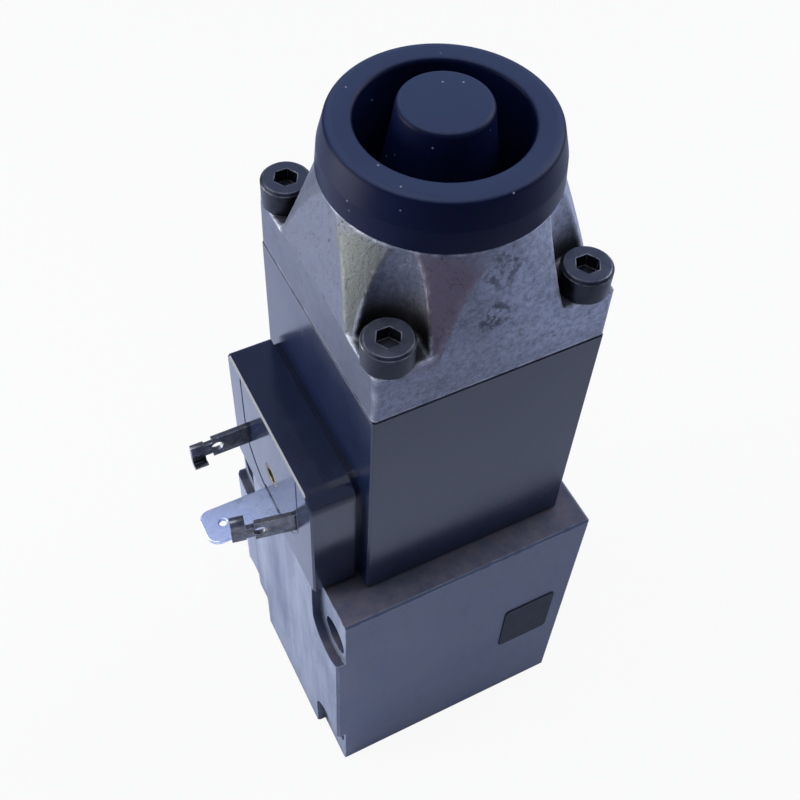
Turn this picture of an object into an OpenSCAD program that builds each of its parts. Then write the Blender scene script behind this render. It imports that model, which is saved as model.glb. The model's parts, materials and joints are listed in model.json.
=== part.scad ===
// Directly operated solenoid valve for manifold mounting, in millimetres.
// The origin is on the valve axis, at the underside of the valve block.
// +Z runs up through the solenoid, +X looks out of the port face and -X is the connector side.

/* [Valve block] */
// Length of the block from the port face to the screw seats (X)
block_length = 46.7; // [42:0.1:60]
// Width of the block (Y)
block_width = 42.5; // [40:0.1:60]
// Height of the block
block_height = 58; // [54:0.5:80]
// How far the middle of the block lies from the valve axis, towards the connector
block_shift_x = 2.25; // [0:0.05:3]
// How far the middle of the block lies from the valve axis, towards the front
block_shift_y = 1.8; // [0:0.05:3]
// Chamfer on the upright and upper edges of the block
block_edge = 0.4; // [0.2:0.1:1.5]
// Chamfer on the lower edges of the block
block_foot_edge = 0.6; // [0.2:0.1:2]

/* [Mounting screws] */
// Distance from the mounting holes to the sides of the block (Y)
mount_inset_y = 3.9; // [3.8:0.1:6]
// Distance between the mounting holes up the block (Z)
mount_spacing_z = 39.5; // [36:0.1:44]
// Diameter of the clearance holes for M6 screws
mount_hole_d = 6.6; // [6.4:0.1:7]
// Diameter of the milled seat for the screw head
mount_seat_d = 10.8; // [10.4:0.1:12]
// Depth of the milled seat
mount_seat_depth = 1.6; // [0.5:0.1:4]

/* [Ports] */
// Diameter of the three port drillings
port_d = 5; // [3:0.1:6]
// Distance from one port to the next (Z)
port_pitch = 14; // [13:0.1:15]
// Diameter of the O-ring seat round each port
port_seal_d = 9; // [8:0.1:12]
// Depth of the O-ring seat
port_seal_depth = 1.5; // [1:0.1:2]
// How much wider than the ports the cross windows in the valve sleeves are
window_extra = 1; // [0.6:0.1:1.6]

/* [Valve well] */
// Diameter of the well that holds the valve sleeves
well_d = 14; // [13:0.1:16]
// Thickness of the floor under the well
well_floor = 5; // [3:0.1:6]
// Diameter of the well mouth that holds the pole piece flange
mouth_d = 22; // [20:0.1:22.5]
// Depth of the well mouth
mouth_depth = 8; // [7:0.1:9]
// Thickness of a seat disc
seat_disc_t = 4; // [3:0.1:5]
// Diameter of the bore in a seat disc
seat_bore_d = 4.8; // [4.4:0.1:5]
// Wall of the valve sleeves
sleeve_wall = 1.8; // [1.6:0.1:2.2]
// Travel of the armature, the poppet and the button
stroke = 1.5; // [1:0.1:1.7]

/* [Solenoid] */
// Length of the housing (X)
housing_length = 35.2; // [34.4:0.1:40]
// Width of the housing (Y)
housing_width = 36; // [35.5:0.1:42]
// How far the middle of the housing lies from the valve axis, towards the connector
housing_shift_x = 0.3; // [0:0.05:1]
// How far the middle of the housing lies from the valve axis, towards the front
housing_shift_y = 0.2; // [0:0.05:1]
// Height of the housing
housing_height = 44.5; // [42:0.1:60]
// Chamfer on the upright edges of the housing
housing_edge = 0.3; // [0.2:0.1:1]
// Diameter of the space for the coil
coil_space_d = 30.4; // [28:0.1:31]
// Thickness of the housing over the coil
housing_top_t = 6.9; // [5:0.1:9]
// Thickness of the flat gasket under the housing
gasket_t = 0.4; // [0.2:0.1:1]
// Thickness of the flat gasket under the cover
cover_gasket_t = 0.2; // [0.2:0.1:1]
// Thickness of the yoke plate under the coil
yoke_t = 3.5; // [2.5:0.1:5]
// Outer diameter of the armature tube
tube_d = 18; // [17:0.1:18.6]
// Wall of the armature tube
tube_wall = 0.8; // [0.6:0.1:1]
// Length of the armature
armature_length = 18.8; // [15:0.1:20]
// Diameter of the push pin
push_pin_d = 3; // [2.5:0.1:3.4]
// Diameter of the override pin
override_pin_d = 5; // [4:0.1:5.4]

/* [Cover] */
// Thickness of the cover flange
flange_t = 8.9; // [6:0.1:10]
// How much the flange draws in from its foot to its top, on each side
flange_draft = 0.1; // [0:0.05:0.6]
// Height of the tapered neck above the flange
neck_height = 13.2; // [10:0.1:16]
// How far the corners of the neck are cut off at its foot
neck_corner_cut = 7.6; // [6:0.1:8]
// Diameter of the circle towards which the neck tapers
neck_aim_d = 28.6; // [28:0.1:30]
// How far that circle lies above the top of the neck
neck_aim_rise = 4.8; // [3:0.1:8]
// Diameter of the pocket round each screw head
screw_pocket_d = 10.1; // [8:0.1:11.5]
// Distance between the cover screws (X)
screw_spacing_x = 28.4; // [28:0.1:29]
// Distance between the cover screws (Y)
screw_spacing_y = 30.6; // [30:0.1:31]
// How far the middle of the cover screws lies from the valve axis, towards the connector
screw_shift_x = 0.5; // [0:0.05:1]
// Shank diameter of the cover screws
screw_d = 4; // [3:0.1:4.2]
// Head diameter of the cover screws
screw_head_d = 7; // [6:0.1:7.4]
// Head height of the cover screws
screw_head_h = 4; // [3:0.1:5]
// Width across flats of the hexagon socket
screw_socket = 3; // [2:0.1:3.5]
// How deep the cover screws reach into the block
screw_reach = 5; // [4:0.1:5]

/* [Rubber cap and button] */
// Diameter of the cap at its foot
cap_d = 31.4; // [31:0.1:34]
// Diameter of the flat ring on top of the cap
cap_top_d = 29.2; // [28:0.1:30]
// Height of the cap above the neck of the cover
cap_height = 7.45; // [6:0.05:10]
// Diameter of the opening round the button
cap_opening_d = 21.6; // [20.5:0.1:22.5]
// Diameter of the flat top of the button
button_d = 11.6; // [9:0.1:12.5]
// How far the button stands above the ring
button_rise = 2.3; // [1.8:0.1:4]

/* [Connector base] */
// Width of the connector base (Y)
connector_width = 30.8; // [28:0.1:33]
// Height of the connector base (Z)
connector_height = 25.8; // [24:0.1:30]
// How far the connector base stands out from the housing
connector_depth = 8; // [6:0.1:12]
// Radius of the near upper corner of the connector base
connector_corner = 3; // [1:0.1:6]
// Radius of its other corners
connector_small_corner = 0.8; // [0.5:0.1:3]
// Distance between the two terminals (Y)
terminal_spacing = 18; // [16:0.1:19]
// Height of the terminals and the centre screw above the foot of the base
terminal_rise = 12.7; // [11:0.1:15]
// How far below the centre screw the earth blade lies
earth_drop = 8.3; // [7:0.1:9]
// How far the hooked terminals stand out of the face
terminal_reach = 9.7; // [8:0.1:13]
// Width of a terminal strip (Z)
terminal_width = 4.4; // [4:0.1:6]
// Thickness of the terminal strips and the earth blade
strip_t = 0.8; // [0.6:0.1:1]
// Angle at which the near terminal has been bent inwards
near_bend = 11; // [0:1:13]
// How far the earth blade stands out of the face
earth_reach = 11.9; // [9:0.1:14]
// Width of the earth blade (Y)
earth_width = 6.3; // [5:0.1:7]
// Outer diameter of the threaded insert
insert_d = 4.2; // [3.8:0.1:5]
// Diameter of the thread bore in the insert
insert_bore_d = 2.5; // [2:0.1:3]
// Length of the insert
insert_length = 6.5; // [4:0.1:7]

/* [Hidden] */
$fn = 48;

// Clearances
cut = 1;              // how far a cutting shape runs past the face it opens
seat_gap = 0.03;      // radial gap of a piece that sits in a bore
slide_gap = 0.05;     // radial gap of a piece that slides in a bore
rest_gap = 0.2;       // gap between moving pieces that push on each other
part_gap = 0.3;       // gap between neighbours that don't carry each other
thread_gap = 0.02;    // radial gap of a thread that is drawn plain
hull_fn = 32;         // facets of the round parts of a blended shape

// Middles of the block, the housing and the cover screws, seen from above
block_mid = [-block_shift_x, -block_shift_y, 0];
housing_mid = [-housing_shift_x, -housing_shift_y, 0];
screws_mid = [-screw_shift_x, -housing_shift_y, 0];
mount_spacing_y = block_width - 2 * mount_inset_y;

// Heights up the valve
port_a_z = block_height / 2;
port_p_z = port_a_z - port_pitch;
port_r_z = port_a_z + port_pitch;
port_heights = [port_p_z, port_a_z, port_r_z];
chamber_wall = 1.5;
chamber_half = port_d / 2 + chamber_wall;
lower_seat_top = port_a_z - chamber_half;
upper_seat_foot = port_a_z + chamber_half;
upper_seat_top = upper_seat_foot + seat_disc_t;
mouth_z = block_height - mouth_depth;
gasket_top = block_height + gasket_t;
housing_top = gasket_top + housing_height;
coil_space_top = housing_top - housing_top_t;
yoke_top = gasket_top + yoke_t;
flange_foot = housing_top + cover_gasket_t;
flange_top = flange_foot + flange_t;
neck_top = flange_top + neck_height;
cap_top = neck_top + cap_height;
button_top = cap_top + button_rise;

// Places across the valve
block_x0 = block_mid.x - block_length / 2;
block_x1 = block_mid.x + block_length / 2;
block_y0 = block_mid.y - block_width / 2;
block_y1 = block_mid.y + block_width / 2;
housing_x0 = housing_mid.x - housing_length / 2;
housing_x1 = housing_mid.x + housing_length / 2;
housing_y0 = housing_mid.y - housing_width / 2;
housing_y1 = housing_mid.y + housing_width / 2;
face_x = housing_x0 - connector_depth;

// Radii in the valve well
well_r = well_d / 2;
sleeve_r = well_r - seat_gap;
sleeve_bore_r = sleeve_r - sleeve_wall;
seat_bore_r = seat_bore_d / 2;
window_r = (port_d + window_extra) / 2;
mouth_r = mouth_d / 2;
pin_r = push_pin_d / 2;
pin_bore_r = pin_r + slide_gap;
seal_cord_r = 0.6;
seal_play = 0.1;
seal_groove_h = 2 * seal_cord_r + 4 * seal_play;
seal_groove_r = well_r - 2 * seal_cord_r - seal_play;

// Poppet: two cones that close on the seats, a stem through the lower seat and a nose above
poppet_r = 3.6;
nose_step = 0.7;
cone_seat_r = seat_bore_r - rest_gap;
cone_h = poppet_r - cone_seat_r;
poppet_nose_r = cone_seat_r - nose_step;
nose_cone_h = cone_seat_r - poppet_nose_r;
poppet_stem_r = 1.4;
stem_cone_h = cone_seat_r - poppet_stem_r;
poppet_upper_z = upper_seat_foot;
poppet_lower_z = lower_seat_top + stroke;
nose_depth = 1;
poppet_nose_top = upper_seat_top - nose_depth;
follower_t = 1.5;
follower_play = 1.5;
follower_r = sleeve_bore_r - follower_play;
follower_rise = 1;
follower_top = port_p_z + port_d / 2 + follower_rise;
follower_z = follower_top - follower_t;

// Return spring under the follower
spring_wire_r = 0.45;
spring_r = 2.6;
spring_turns = 6;
spring_steps = 14;
spring_sides = 8;
spring_foot = well_floor;

// Tube, pole piece, armature and the pins above it
tube_r = tube_d / 2;
tube_bore_r = tube_r - tube_wall;
armature_r = tube_bore_r - slide_gap;
shim_t = 0.2;
residual_gap = 0.1;
armature_head_room = 1.3;
armature_top = coil_space_top - armature_head_room;
armature_foot = armature_top - armature_length;
shim_top = armature_foot - stroke - residual_gap;
pole_top = shim_top - shim_t;
pole_flange_r = mouth_r - seat_gap;
push_pin_foot = poppet_nose_top + rest_gap;
push_pin_top = armature_foot - rest_gap;
override_r = override_pin_d / 2;
override_bore_r = override_r + slide_gap;
override_foot = armature_top + rest_gap;
collar_t = 1.2;
collar_step = 1.5;
collar_r = override_r + collar_step;
guide_foot = override_foot + collar_t + part_gap;
guide_flange_t = 3.5;
guide_flange_rise = 2.8;
guide_flange_step = 1.4;
guide_flange_foot = flange_foot + guide_flange_rise;
guide_flange_top = guide_flange_foot + guide_flange_t;
guide_flange_r = tube_r + guide_flange_step;
guide_seal_cord_r = 0.9;

// Space in the cover for the rubber parts
boot_space_r = 12;
boot_floor_t = 3.5;
boot_floor = guide_flange_top + boot_floor_t;
rim_t = 1.6;
rim_r = boot_space_r + rim_t;
rim_height = 4;
boot_room = 4.5;
sleeve_foot = boot_floor + boot_room;
cap_opening_r = cap_opening_d / 2;
button_flare = 2.7;
button_skirt_r = button_d / 2 + button_flare;
web_height = 4;
button_skirt_z = sleeve_foot + web_height;
button_boss_r = 4;
boss_height = 1.5;
boss_room = 2.5;
button_boss_z = button_skirt_z - boss_height;
override_top = button_boss_z - rest_gap;
web_t = 1;

// Connector base
connector_foot = gasket_top + part_gap;
terminal_z = connector_foot + terminal_rise;
earth_z = terminal_z - earth_drop;
neck_depth = 0.9;
neck_inset = 0.7;
face_round = 0.3;
slot_gap = 0.25;
slot_reach = 5;
earth_slot_rise = 0.8;
strip_inset = 1;
strip_in_x = -sqrt(pow(coil_space_d / 2, 2) - pow(terminal_spacing / 2, 2)) + strip_inset;
sleeve_wall_t = 0.8;
sleeve_t = strip_t + 2 * sleeve_wall_t;
sleeve_h = terminal_width + 2 * sleeve_wall_t;
sleeve_inset = 2.2;
sleeve_in_x = -coil_space_d / 2 + sleeve_inset;

// Rectangle in the XY plane between two corners, with cut corners
module cut_rect(x0, y0, x1, y1, edge) {
    polygon([
        [x0 + edge, y0], [x1 - edge, y0], [x1, y0 + edge], [x1, y1 - edge],
        [x1 - edge, y1], [x0 + edge, y1], [x0, y1 - edge], [x0, y0 + edge]
    ]);
}

// Upright rectangle for shapes along X or Y, with other cuts at its foot than at its top
module upright_rect(x0, x1, top, edge, foot_edge) {
    polygon([
        [x0 + foot_edge, 0], [x1 - foot_edge, 0], [x1, foot_edge], [x1, top - edge],
        [x1 - edge, top], [x0 + edge, top], [x0, top - edge], [x0, foot_edge]
    ]);
}

// Washer or sleeve with its axis on Z
module ring(outer_r, inner_r, z0, z1) {
    translate([0, 0, z0])
    difference() {
        cylinder(r = outer_r, h = z1 - z0);
        translate([0, 0, -cut]) cylinder(r = inner_r, h = z1 - z0 + 2 * cut);
    }
}

// O-ring with its axis on Z
module o_ring(ring_r, cord_r, z) {
    translate([0, 0, z])
    rotate_extrude()
        translate([ring_r, 0]) circle(r = cord_r);
}

// The four cover screws stand at the corners of one rectangle
module at_cover_screws() {
    for (sx = [-1, 1], sy = [-1, 1])
        translate(screws_mid + [sx * screw_spacing_x / 2, sy * screw_spacing_y / 2, 0]) children();
}

module screw_holes(z0, z1, hole_r) {
    at_cover_screws()
        translate([0, 0, z0]) cylinder(r = hole_r, h = z1 - z0);
}

screw_clear_r = screw_d / 2 + seal_play + slide_gap;
screw_tap_r = screw_d / 2 + thread_gap;

// Milled seat of one mounting screw, open to the nearer end of the block, and its hole
module mount_screw_cut(side_y, side_z) {
    y = block_mid.y + side_y * mount_spacing_y / 2;
    z = block_height / 2 + side_z * mount_spacing_z / 2;
    seat_r = mount_seat_d / 2;
    slot_end = side_z > 0 ? block_height + cut : -cut;
    translate([block_x0 - cut, y, z])
        rotate([0, 90, 0]) cylinder(d = mount_hole_d, h = block_length + 2 * cut);
    translate([block_x0 - cut, y, z])
        rotate([0, 90, 0]) cylinder(r = seat_r, h = mount_seat_depth + cut);
    translate([block_x0 - cut, y - seat_r, min(z, slot_end)])
        cube([mount_seat_depth + cut, 2 * seat_r, abs(slot_end - z)]);
}

// Port drilling with the seat for its O-ring
module port_cut(z) {
    translate([0, 0, z]) rotate([0, 90, 0]) cylinder(d = port_d, h = block_x1 + cut);
    translate([block_x1 - port_seal_depth, 0, z])
        rotate([0, 90, 0]) cylinder(d = port_seal_d, h = port_seal_depth + cut);
}

module valve_body() {
    color([0.36, 0.39, 0.46])
    difference() {
        intersection() {
            linear_extrude(block_height) cut_rect(block_x0, block_y0, block_x1, block_y1, block_edge);
            translate([0, block_y1, 0]) rotate([90, 0, 0]) linear_extrude(block_width)
                upright_rect(block_x0, block_x1, block_height, block_edge, block_foot_edge);
            translate([block_x0, 0, 0]) rotate([90, 0, 90]) linear_extrude(block_length)
                upright_rect(block_y0, block_y1, block_height, block_edge, block_foot_edge);
        }
        translate([0, 0, well_floor]) cylinder(r = well_r, h = block_height);
        translate([0, 0, mouth_z]) cylinder(r = mouth_r, h = mouth_depth + cut);
        for (side_y = [-1, 1], side_z = [-1, 1]) mount_screw_cut(side_y, side_z);
        for (z = port_heights) port_cut(z);
        screw_holes(block_height - screw_reach - 0.5, block_height + cut, screw_tap_r);
    }
}

// Outline of a valve sleeve: a disc with a skirt, a groove round the disc for an O-ring
module seat_sleeve(foot, disc_foot, disc_top) {
    groove_z = (disc_foot + disc_top) / 2;
    window_z = (foot + disc_foot) / 2;
    difference() {
        translate([0, 0, foot]) cylinder(r = sleeve_r, h = disc_top - foot);
        translate([0, 0, foot - cut]) cylinder(r = sleeve_bore_r, h = disc_foot - foot + cut);
        translate([0, 0, foot]) cylinder(r = seat_bore_r, h = disc_top - foot + cut);
        ring(well_r + cut, seal_groove_r, groove_z - seal_groove_h / 2, groove_z + seal_groove_h / 2);
        children();
    }
}

module cross_window(z) {
    translate([0, 0, z]) rotate([0, 90, 0]) cylinder(r = window_r, h = well_r + cut);
}

lower_disc_foot = lower_seat_top - seat_disc_t;

module lower_seat() {
    color([0.72, 0.73, 0.75])
    seat_sleeve(well_floor, lower_disc_foot, lower_seat_top) cross_window(port_p_z);
}

module upper_seat() {
    color([0.72, 0.73, 0.75])
    seat_sleeve(lower_seat_top, upper_seat_foot, upper_seat_top) cross_window(port_a_z);
}

guide_bush_seal_z = mouth_z - seal_groove_h / 2 - 0.9;
guide_chamber_top = guide_bush_seal_z - seal_groove_h / 2 - 0.5;

module guide_bush() {
    color([0.78, 0.66, 0.38])
    difference() {
        translate([0, 0, upper_seat_top]) cylinder(r = sleeve_r, h = mouth_z - upper_seat_top);
        translate([0, 0, upper_seat_top - cut])
            cylinder(r = sleeve_bore_r - 1, h = guide_chamber_top - upper_seat_top + cut);
        translate([0, 0, upper_seat_top]) cylinder(r = pin_bore_r, h = mouth_z);
        ring(well_r + cut, seal_groove_r, guide_bush_seal_z - seal_groove_h / 2,
            guide_bush_seal_z + seal_groove_h / 2);
        cross_window(port_r_z);
    }
}

module sleeve_seals() {
    color([0.1, 0.1, 0.11])
    for (z = [lower_seat_top - seat_disc_t / 2, upper_seat_top - seat_disc_t / 2, guide_bush_seal_z])
        o_ring(seal_groove_r + seal_cord_r + 0.05, seal_cord_r, z);
}

port_seal_cord_r = port_seal_depth / 2;

module port_seals() {
    color([0.1, 0.1, 0.11])
    for (z = port_heights)
        translate([block_x1 - port_seal_cord_r, 0, z]) rotate([0, 90, 0])
            o_ring(port_seal_d / 2 - port_seal_cord_r - 0.05, port_seal_cord_r, 0);
}

pole_seal_z = mouth_z + 4;
pole_groove_r = mouth_r - 2 * seal_cord_r - 0.1;

module pole_piece() {
    color([0.7, 0.71, 0.73])
    difference() {
        union() {
            translate([0, 0, mouth_z]) cylinder(r = pole_flange_r, h = gasket_top - mouth_z);
            translate([0, 0, mouth_z]) cylinder(r = tube_bore_r - seat_gap, h = pole_top - mouth_z);
        }
        translate([0, 0, mouth_z - cut]) cylinder(r = pin_bore_r, h = pole_top - mouth_z + 2 * cut);
        ring(mouth_r + cut, pole_groove_r, pole_seal_z - seal_groove_h / 2,
            pole_seal_z + seal_groove_h / 2);
    }
}

module pole_seal() {
    color([0.1, 0.1, 0.11])
    o_ring(pole_groove_r + seal_cord_r + 0.05, seal_cord_r, pole_seal_z);
}

module antistick_shim() {
    color([0.8, 0.66, 0.3])
    ring(tube_bore_r - slide_gap, pin_r + 0.5, pole_top, shim_top);
}

module armature_tube() {
    color([0.75, 0.76, 0.78])
    ring(tube_r, tube_bore_r, gasket_top, guide_flange_foot);
}

// Flat gasket that shows as a thin line, a little inside the edge of its neighbours
module flat_gasket(z, thickness, inset, hole_r) {
    difference() {
        translate([0, 0, z]) linear_extrude(thickness)
            cut_rect(housing_x0 + inset, housing_y0 + inset, housing_x1 - inset, housing_y1 - inset,
                housing_edge);
        translate([0, 0, z - cut]) cylinder(r = hole_r, h = thickness + 2 * cut);
        screw_holes(z - cut, z + thickness + cut, screw_clear_r);
    }
}

module base_gasket() {
    color([0.08, 0.08, 0.09])
    flat_gasket(block_height, gasket_t, 0.3, mouth_r + part_gap);
}

module yoke_plate() {
    color([0.6, 0.61, 0.63])
    ring(coil_space_d / 2 - seat_gap, tube_r + slide_gap, gasket_top, yoke_top);
}

// Slot in the housing wall and in the connector base for one terminal
module terminal_slot(y, gap, x0, x1, width, height) {
    translate([x0, housing_mid.y + y - width / 2 - gap, terminal_z - height / 2 - gap])
        cube([x1 - x0, width + 2 * gap, height + 2 * gap]);
}

terminal_sides = [-1, 1];

module solenoid_housing() {
    color([0.12, 0.13, 0.17])
    difference() {
        translate([0, 0, gasket_top]) linear_extrude(housing_height)
            cut_rect(housing_x0, housing_y0, housing_x1, housing_y1, housing_edge);
        translate([0, 0, gasket_top - cut])
            cylinder(d = coil_space_d, h = coil_space_top - gasket_top + cut);
        translate([0, 0, gasket_top]) cylinder(r = tube_r + slide_gap, h = housing_height + cut);
        screw_holes(gasket_top - cut, housing_top + cut, screw_clear_r);
        for (side = terminal_sides)
            terminal_slot(side * terminal_spacing / 2, slot_gap, housing_x0 - cut,
                -coil_space_d / 2 + slot_reach, sleeve_t, sleeve_h);
    }
}

bobbin_wall = 1.2;
bobbin_flange_t = 2;
bobbin_bore_r = tube_r + 0.1;
bobbin_foot = yoke_top;
bobbin_top = coil_space_top - rest_gap;

module coil_bobbin() {
    color([0.2, 0.2, 0.21])
    difference() {
        translate([0, 0, bobbin_foot])
            cylinder(r = coil_space_d / 2 - part_gap, h = bobbin_top - bobbin_foot);
        translate([0, 0, bobbin_foot - cut]) cylinder(r = bobbin_bore_r, h = housing_height);
        ring(coil_space_d / 2 + cut, bobbin_bore_r + bobbin_wall, bobbin_foot + bobbin_flange_t,
            bobbin_top - bobbin_flange_t);
    }
}

winding_r = coil_space_d / 2 - 1.4;

module coil_winding() {
    color([0.7, 0.38, 0.2])
    ring(winding_r, bobbin_bore_r + bobbin_wall + seat_gap, bobbin_foot + bobbin_flange_t + slide_gap,
        bobbin_top - bobbin_flange_t - slide_gap);
}

// Plate in the YZ plane with a softened front edge, blended from eight discs.
// Its near upper corner is rounder than the other three.
module moulded_plate(x0, x1, inset, edge) {
    width = connector_width - 2 * inset;
    height = connector_height - 2 * inset;
    translate([0, housing_mid.y, connector_foot + inset])
    hull()
        for (side = [-1, 1], up = [0, 1]) {
            round_r = side < 0 && up > 0 ? connector_corner : connector_small_corner;
            y = side * (width / 2 - round_r);
            z = up * (height - 2 * round_r) + round_r;
            translate([x0 + edge, y, z]) rotate([0, 90, 0])
                cylinder(r = round_r, h = x1 - x0 - edge, $fn = hull_fn);
            translate([x0, y, z]) rotate([0, 90, 0])
                cylinder(r = round_r - edge, h = edge, $fn = hull_fn);
        }
}

module connector_base() {
    plate_x1 = housing_x0 - neck_depth;
    color([0.1, 0.11, 0.15])
    difference() {
        union() {
            moulded_plate(face_x, plate_x1, 0, face_round);
            moulded_plate(plate_x1 - neck_depth, housing_x0, neck_inset, face_round);
            for (side = terminal_sides)
                terminal_slot(side * terminal_spacing / 2, 0, plate_x1, sleeve_in_x, sleeve_t, sleeve_h);
        }
        for (side = terminal_sides)
            terminal_slot(side * terminal_spacing / 2, slot_gap / 2, face_x - cut, sleeve_in_x + cut,
                strip_t, terminal_width);
        translate([face_x - cut, housing_mid.y - earth_width / 2 - slot_gap,
            earth_z - strip_t / 2 - slot_gap])
            cube([connector_depth + 2 * cut, earth_width + 2 * slot_gap,
                strip_t + slot_gap + earth_slot_rise]);
        translate([face_x - cut, housing_mid.y, terminal_z]) rotate([0, 90, 0])
            cylinder(r = insert_d / 2 + seat_gap, h = insert_length + cut);
    }
}

module connector_insert() {
    color([0.75, 0.62, 0.35])
    translate([face_x, housing_mid.y, terminal_z]) rotate([0, 90, 0])
        ring(insert_d / 2, insert_bore_d / 2, 0, insert_length);
}

// Hooked terminal from the root outwards: strip, hole, neck and a tip rolled over at the top
terminal_hole_d = 2;
hole_from_tip = 4.3;
neck_from_tip = 2.2;
terminal_neck_length = 1.3;
neck_notch = 0.9;
curl_r = 0.95;

module terminal_tip(length) {
    half = terminal_width / 2;
    neck_x = -length + neck_from_tip;
    translate([0, strip_t / 2, 0]) rotate([90, 0, 0]) linear_extrude(strip_t)
    difference() {
        polygon([
            [0, -half], [0, half], [neck_x + terminal_neck_length, half],
            [neck_x + terminal_neck_length, half - neck_notch], [neck_x, half - neck_notch],
            [neck_x, half], [-length, half], [-length, -half + neck_notch / 2],
            [neck_x, -half + neck_notch / 2], [neck_x, -half + neck_notch],
            [neck_x + terminal_neck_length, -half + neck_notch],
            [neck_x + terminal_neck_length, -half]
        ]);
        translate([-length + hole_from_tip, 0]) circle(d = terminal_hole_d);
    }
    translate([-length, -strip_t / 2 + curl_r, half]) rotate([0, 90, 0])
    difference() {
        cylinder(r = curl_r, h = neck_from_tip);
        translate([0, 0, -cut]) cylinder(r = curl_r - strip_t, h = neck_from_tip + 2 * cut);
        translate([0, -2 * curl_r, -cut]) cube([2 * curl_r, 4 * curl_r, neck_from_tip + 2 * cut]);
    }
}

// Strip inside the connector base, with the hooked part turned about the face of the base
module hooked_terminal(bend) {
    root_length = strip_in_x - face_x;
    translate([face_x, -strip_t / 2, -terminal_width / 2])
        cube([root_length, strip_t, terminal_width]);
    translate([face_x, 0, 0]) rotate([0, 0, -bend]) terminal_tip(terminal_reach);
    if (bend > 0)
        translate([face_x, 0, 0]) cylinder(d = strip_t, h = terminal_width, center = true);
}

module near_terminal() {
    color([0.66, 0.63, 0.56])
    translate([0, housing_mid.y - terminal_spacing / 2, terminal_z]) hooked_terminal(near_bend);
}

module far_terminal() {
    color([0.66, 0.63, 0.56])
    translate([0, housing_mid.y + terminal_spacing / 2, terminal_z]) rotate([180, 0, 0])
        hooked_terminal(0);
}

earth_tip_edge = 1.6;
earth_hole_d = 1.3;
earth_hole_from_tip = 3.2;

module earth_terminal() {
    half = earth_width / 2;
    tip_x = face_x - earth_reach;
    color([0.72, 0.77, 0.86])
    translate([0, housing_mid.y, earth_z - strip_t / 2]) linear_extrude(strip_t)
    difference() {
        polygon([
            [housing_x0, -half], [housing_x0, half], [tip_x + earth_tip_edge, half],
            [tip_x + earth_tip_edge / 3, half - earth_tip_edge / 4],
            [tip_x, half - earth_tip_edge], [tip_x, -half + earth_tip_edge],
            [tip_x + earth_tip_edge / 3, -half + earth_tip_edge / 4],
            [tip_x + earth_tip_edge, -half]
        ]);
        translate([tip_x + earth_hole_from_tip, 0]) circle(d = earth_hole_d);
    }
}

module cover_gasket() {
    color([0.08, 0.08, 0.09])
    flat_gasket(housing_top, cover_gasket_t, 0.15, guide_flange_r + part_gap);
}

cover_corner = 0.8;

// One corner of the flange, drawn in towards its top
module flange_corner(sx, sy) {
    x = sx * (housing_length / 2 - cover_corner);
    y = sy * (housing_width / 2 - cover_corner);
    translate(housing_mid + [x, y, flange_foot])
        cylinder(r1 = cover_corner, r2 = cover_corner - flange_draft, h = flange_t, $fn = hull_fn);
}

// Neck of the casting: a square foot with cut corners, blended towards a circle on the valve axis
// and cut off level before it gets there
module cover_neck() {
    foot_t = 0.1;
    intersection() {
        hull() {
            translate([0, 0, -foot_t]) linear_extrude(foot_t)
                cut_rect(housing_x0 + flange_draft, housing_y0 + flange_draft,
                    housing_x1 - flange_draft, housing_y1 - flange_draft, neck_corner_cut);
            translate([0, 0, neck_height + neck_aim_rise])
                cylinder(d = neck_aim_d, h = foot_t, $fn = 2 * hull_fn);
        }
        translate([-housing_length, -housing_width, -foot_t])
            cube([2 * housing_length, 2 * housing_width, neck_height + foot_t]);
    }
}

module cast_cover() {
    color([0.55, 0.55, 0.55])
    difference() {
        union() {
            hull() for (sx = [-1, 1], sy = [-1, 1]) flange_corner(sx, sy);
            translate([0, 0, flange_top])
            difference() {
                cover_neck();
                at_cover_screws() cylinder(d = screw_pocket_d, h = neck_height + cut);
            }
            translate([0, 0, neck_top - rim_t]) cylinder(r = rim_r, h = rim_height + rim_t);
        }
        translate([0, 0, flange_foot - cut])
            cylinder(r = guide_flange_r + seat_gap, h = guide_flange_top - flange_foot + cut);
        translate([0, 0, guide_flange_top]) cylinder(r = button_boss_r + boss_room, h = neck_height);
        translate([0, 0, boot_floor]) cylinder(r = boot_space_r, h = neck_height + rim_height + cut);
        screw_holes(flange_foot - cut, flange_top + cut, screw_clear_r);
    }
}

module cap_screw(under_head, length) {
    head_edge = 0.4;
    socket_depth = 2;
    difference() {
        union() {
            translate([0, 0, under_head])
                cylinder(d = screw_head_d, h = screw_head_h - head_edge);
            translate([0, 0, under_head + screw_head_h - head_edge])
                cylinder(r1 = screw_head_d / 2, r2 = screw_head_d / 2 - head_edge, h = head_edge);
            translate([0, 0, under_head - length]) cylinder(d = screw_d, h = length + 0.5);
        }
        translate([0, 0, under_head + screw_head_h - socket_depth])
            cylinder(d = screw_socket / cos(30), h = socket_depth + cut, $fn = 6);
    }
}

module cover_screws() {
    color([0.3, 0.3, 0.31])
    at_cover_screws()
        cap_screw(flange_top, flange_top - block_height + screw_reach);
}

module override_guide() {
    color([0.7, 0.71, 0.73])
    difference() {
        union() {
            translate([0, 0, guide_foot])
                cylinder(r = tube_bore_r - seat_gap, h = guide_flange_top - guide_foot);
            translate([0, 0, guide_flange_foot]) cylinder(r = guide_flange_r, h = guide_flange_t);
        }
        translate([0, 0, guide_foot - cut])
            cylinder(r = override_bore_r, h = guide_flange_top - guide_foot + 2 * cut);
        translate([0, 0, guide_flange_top - 2 * guide_seal_cord_r - 0.2])
            cylinder(r = override_bore_r + 2 * guide_seal_cord_r + 0.1, h = guide_flange_t);
    }
}

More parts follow.
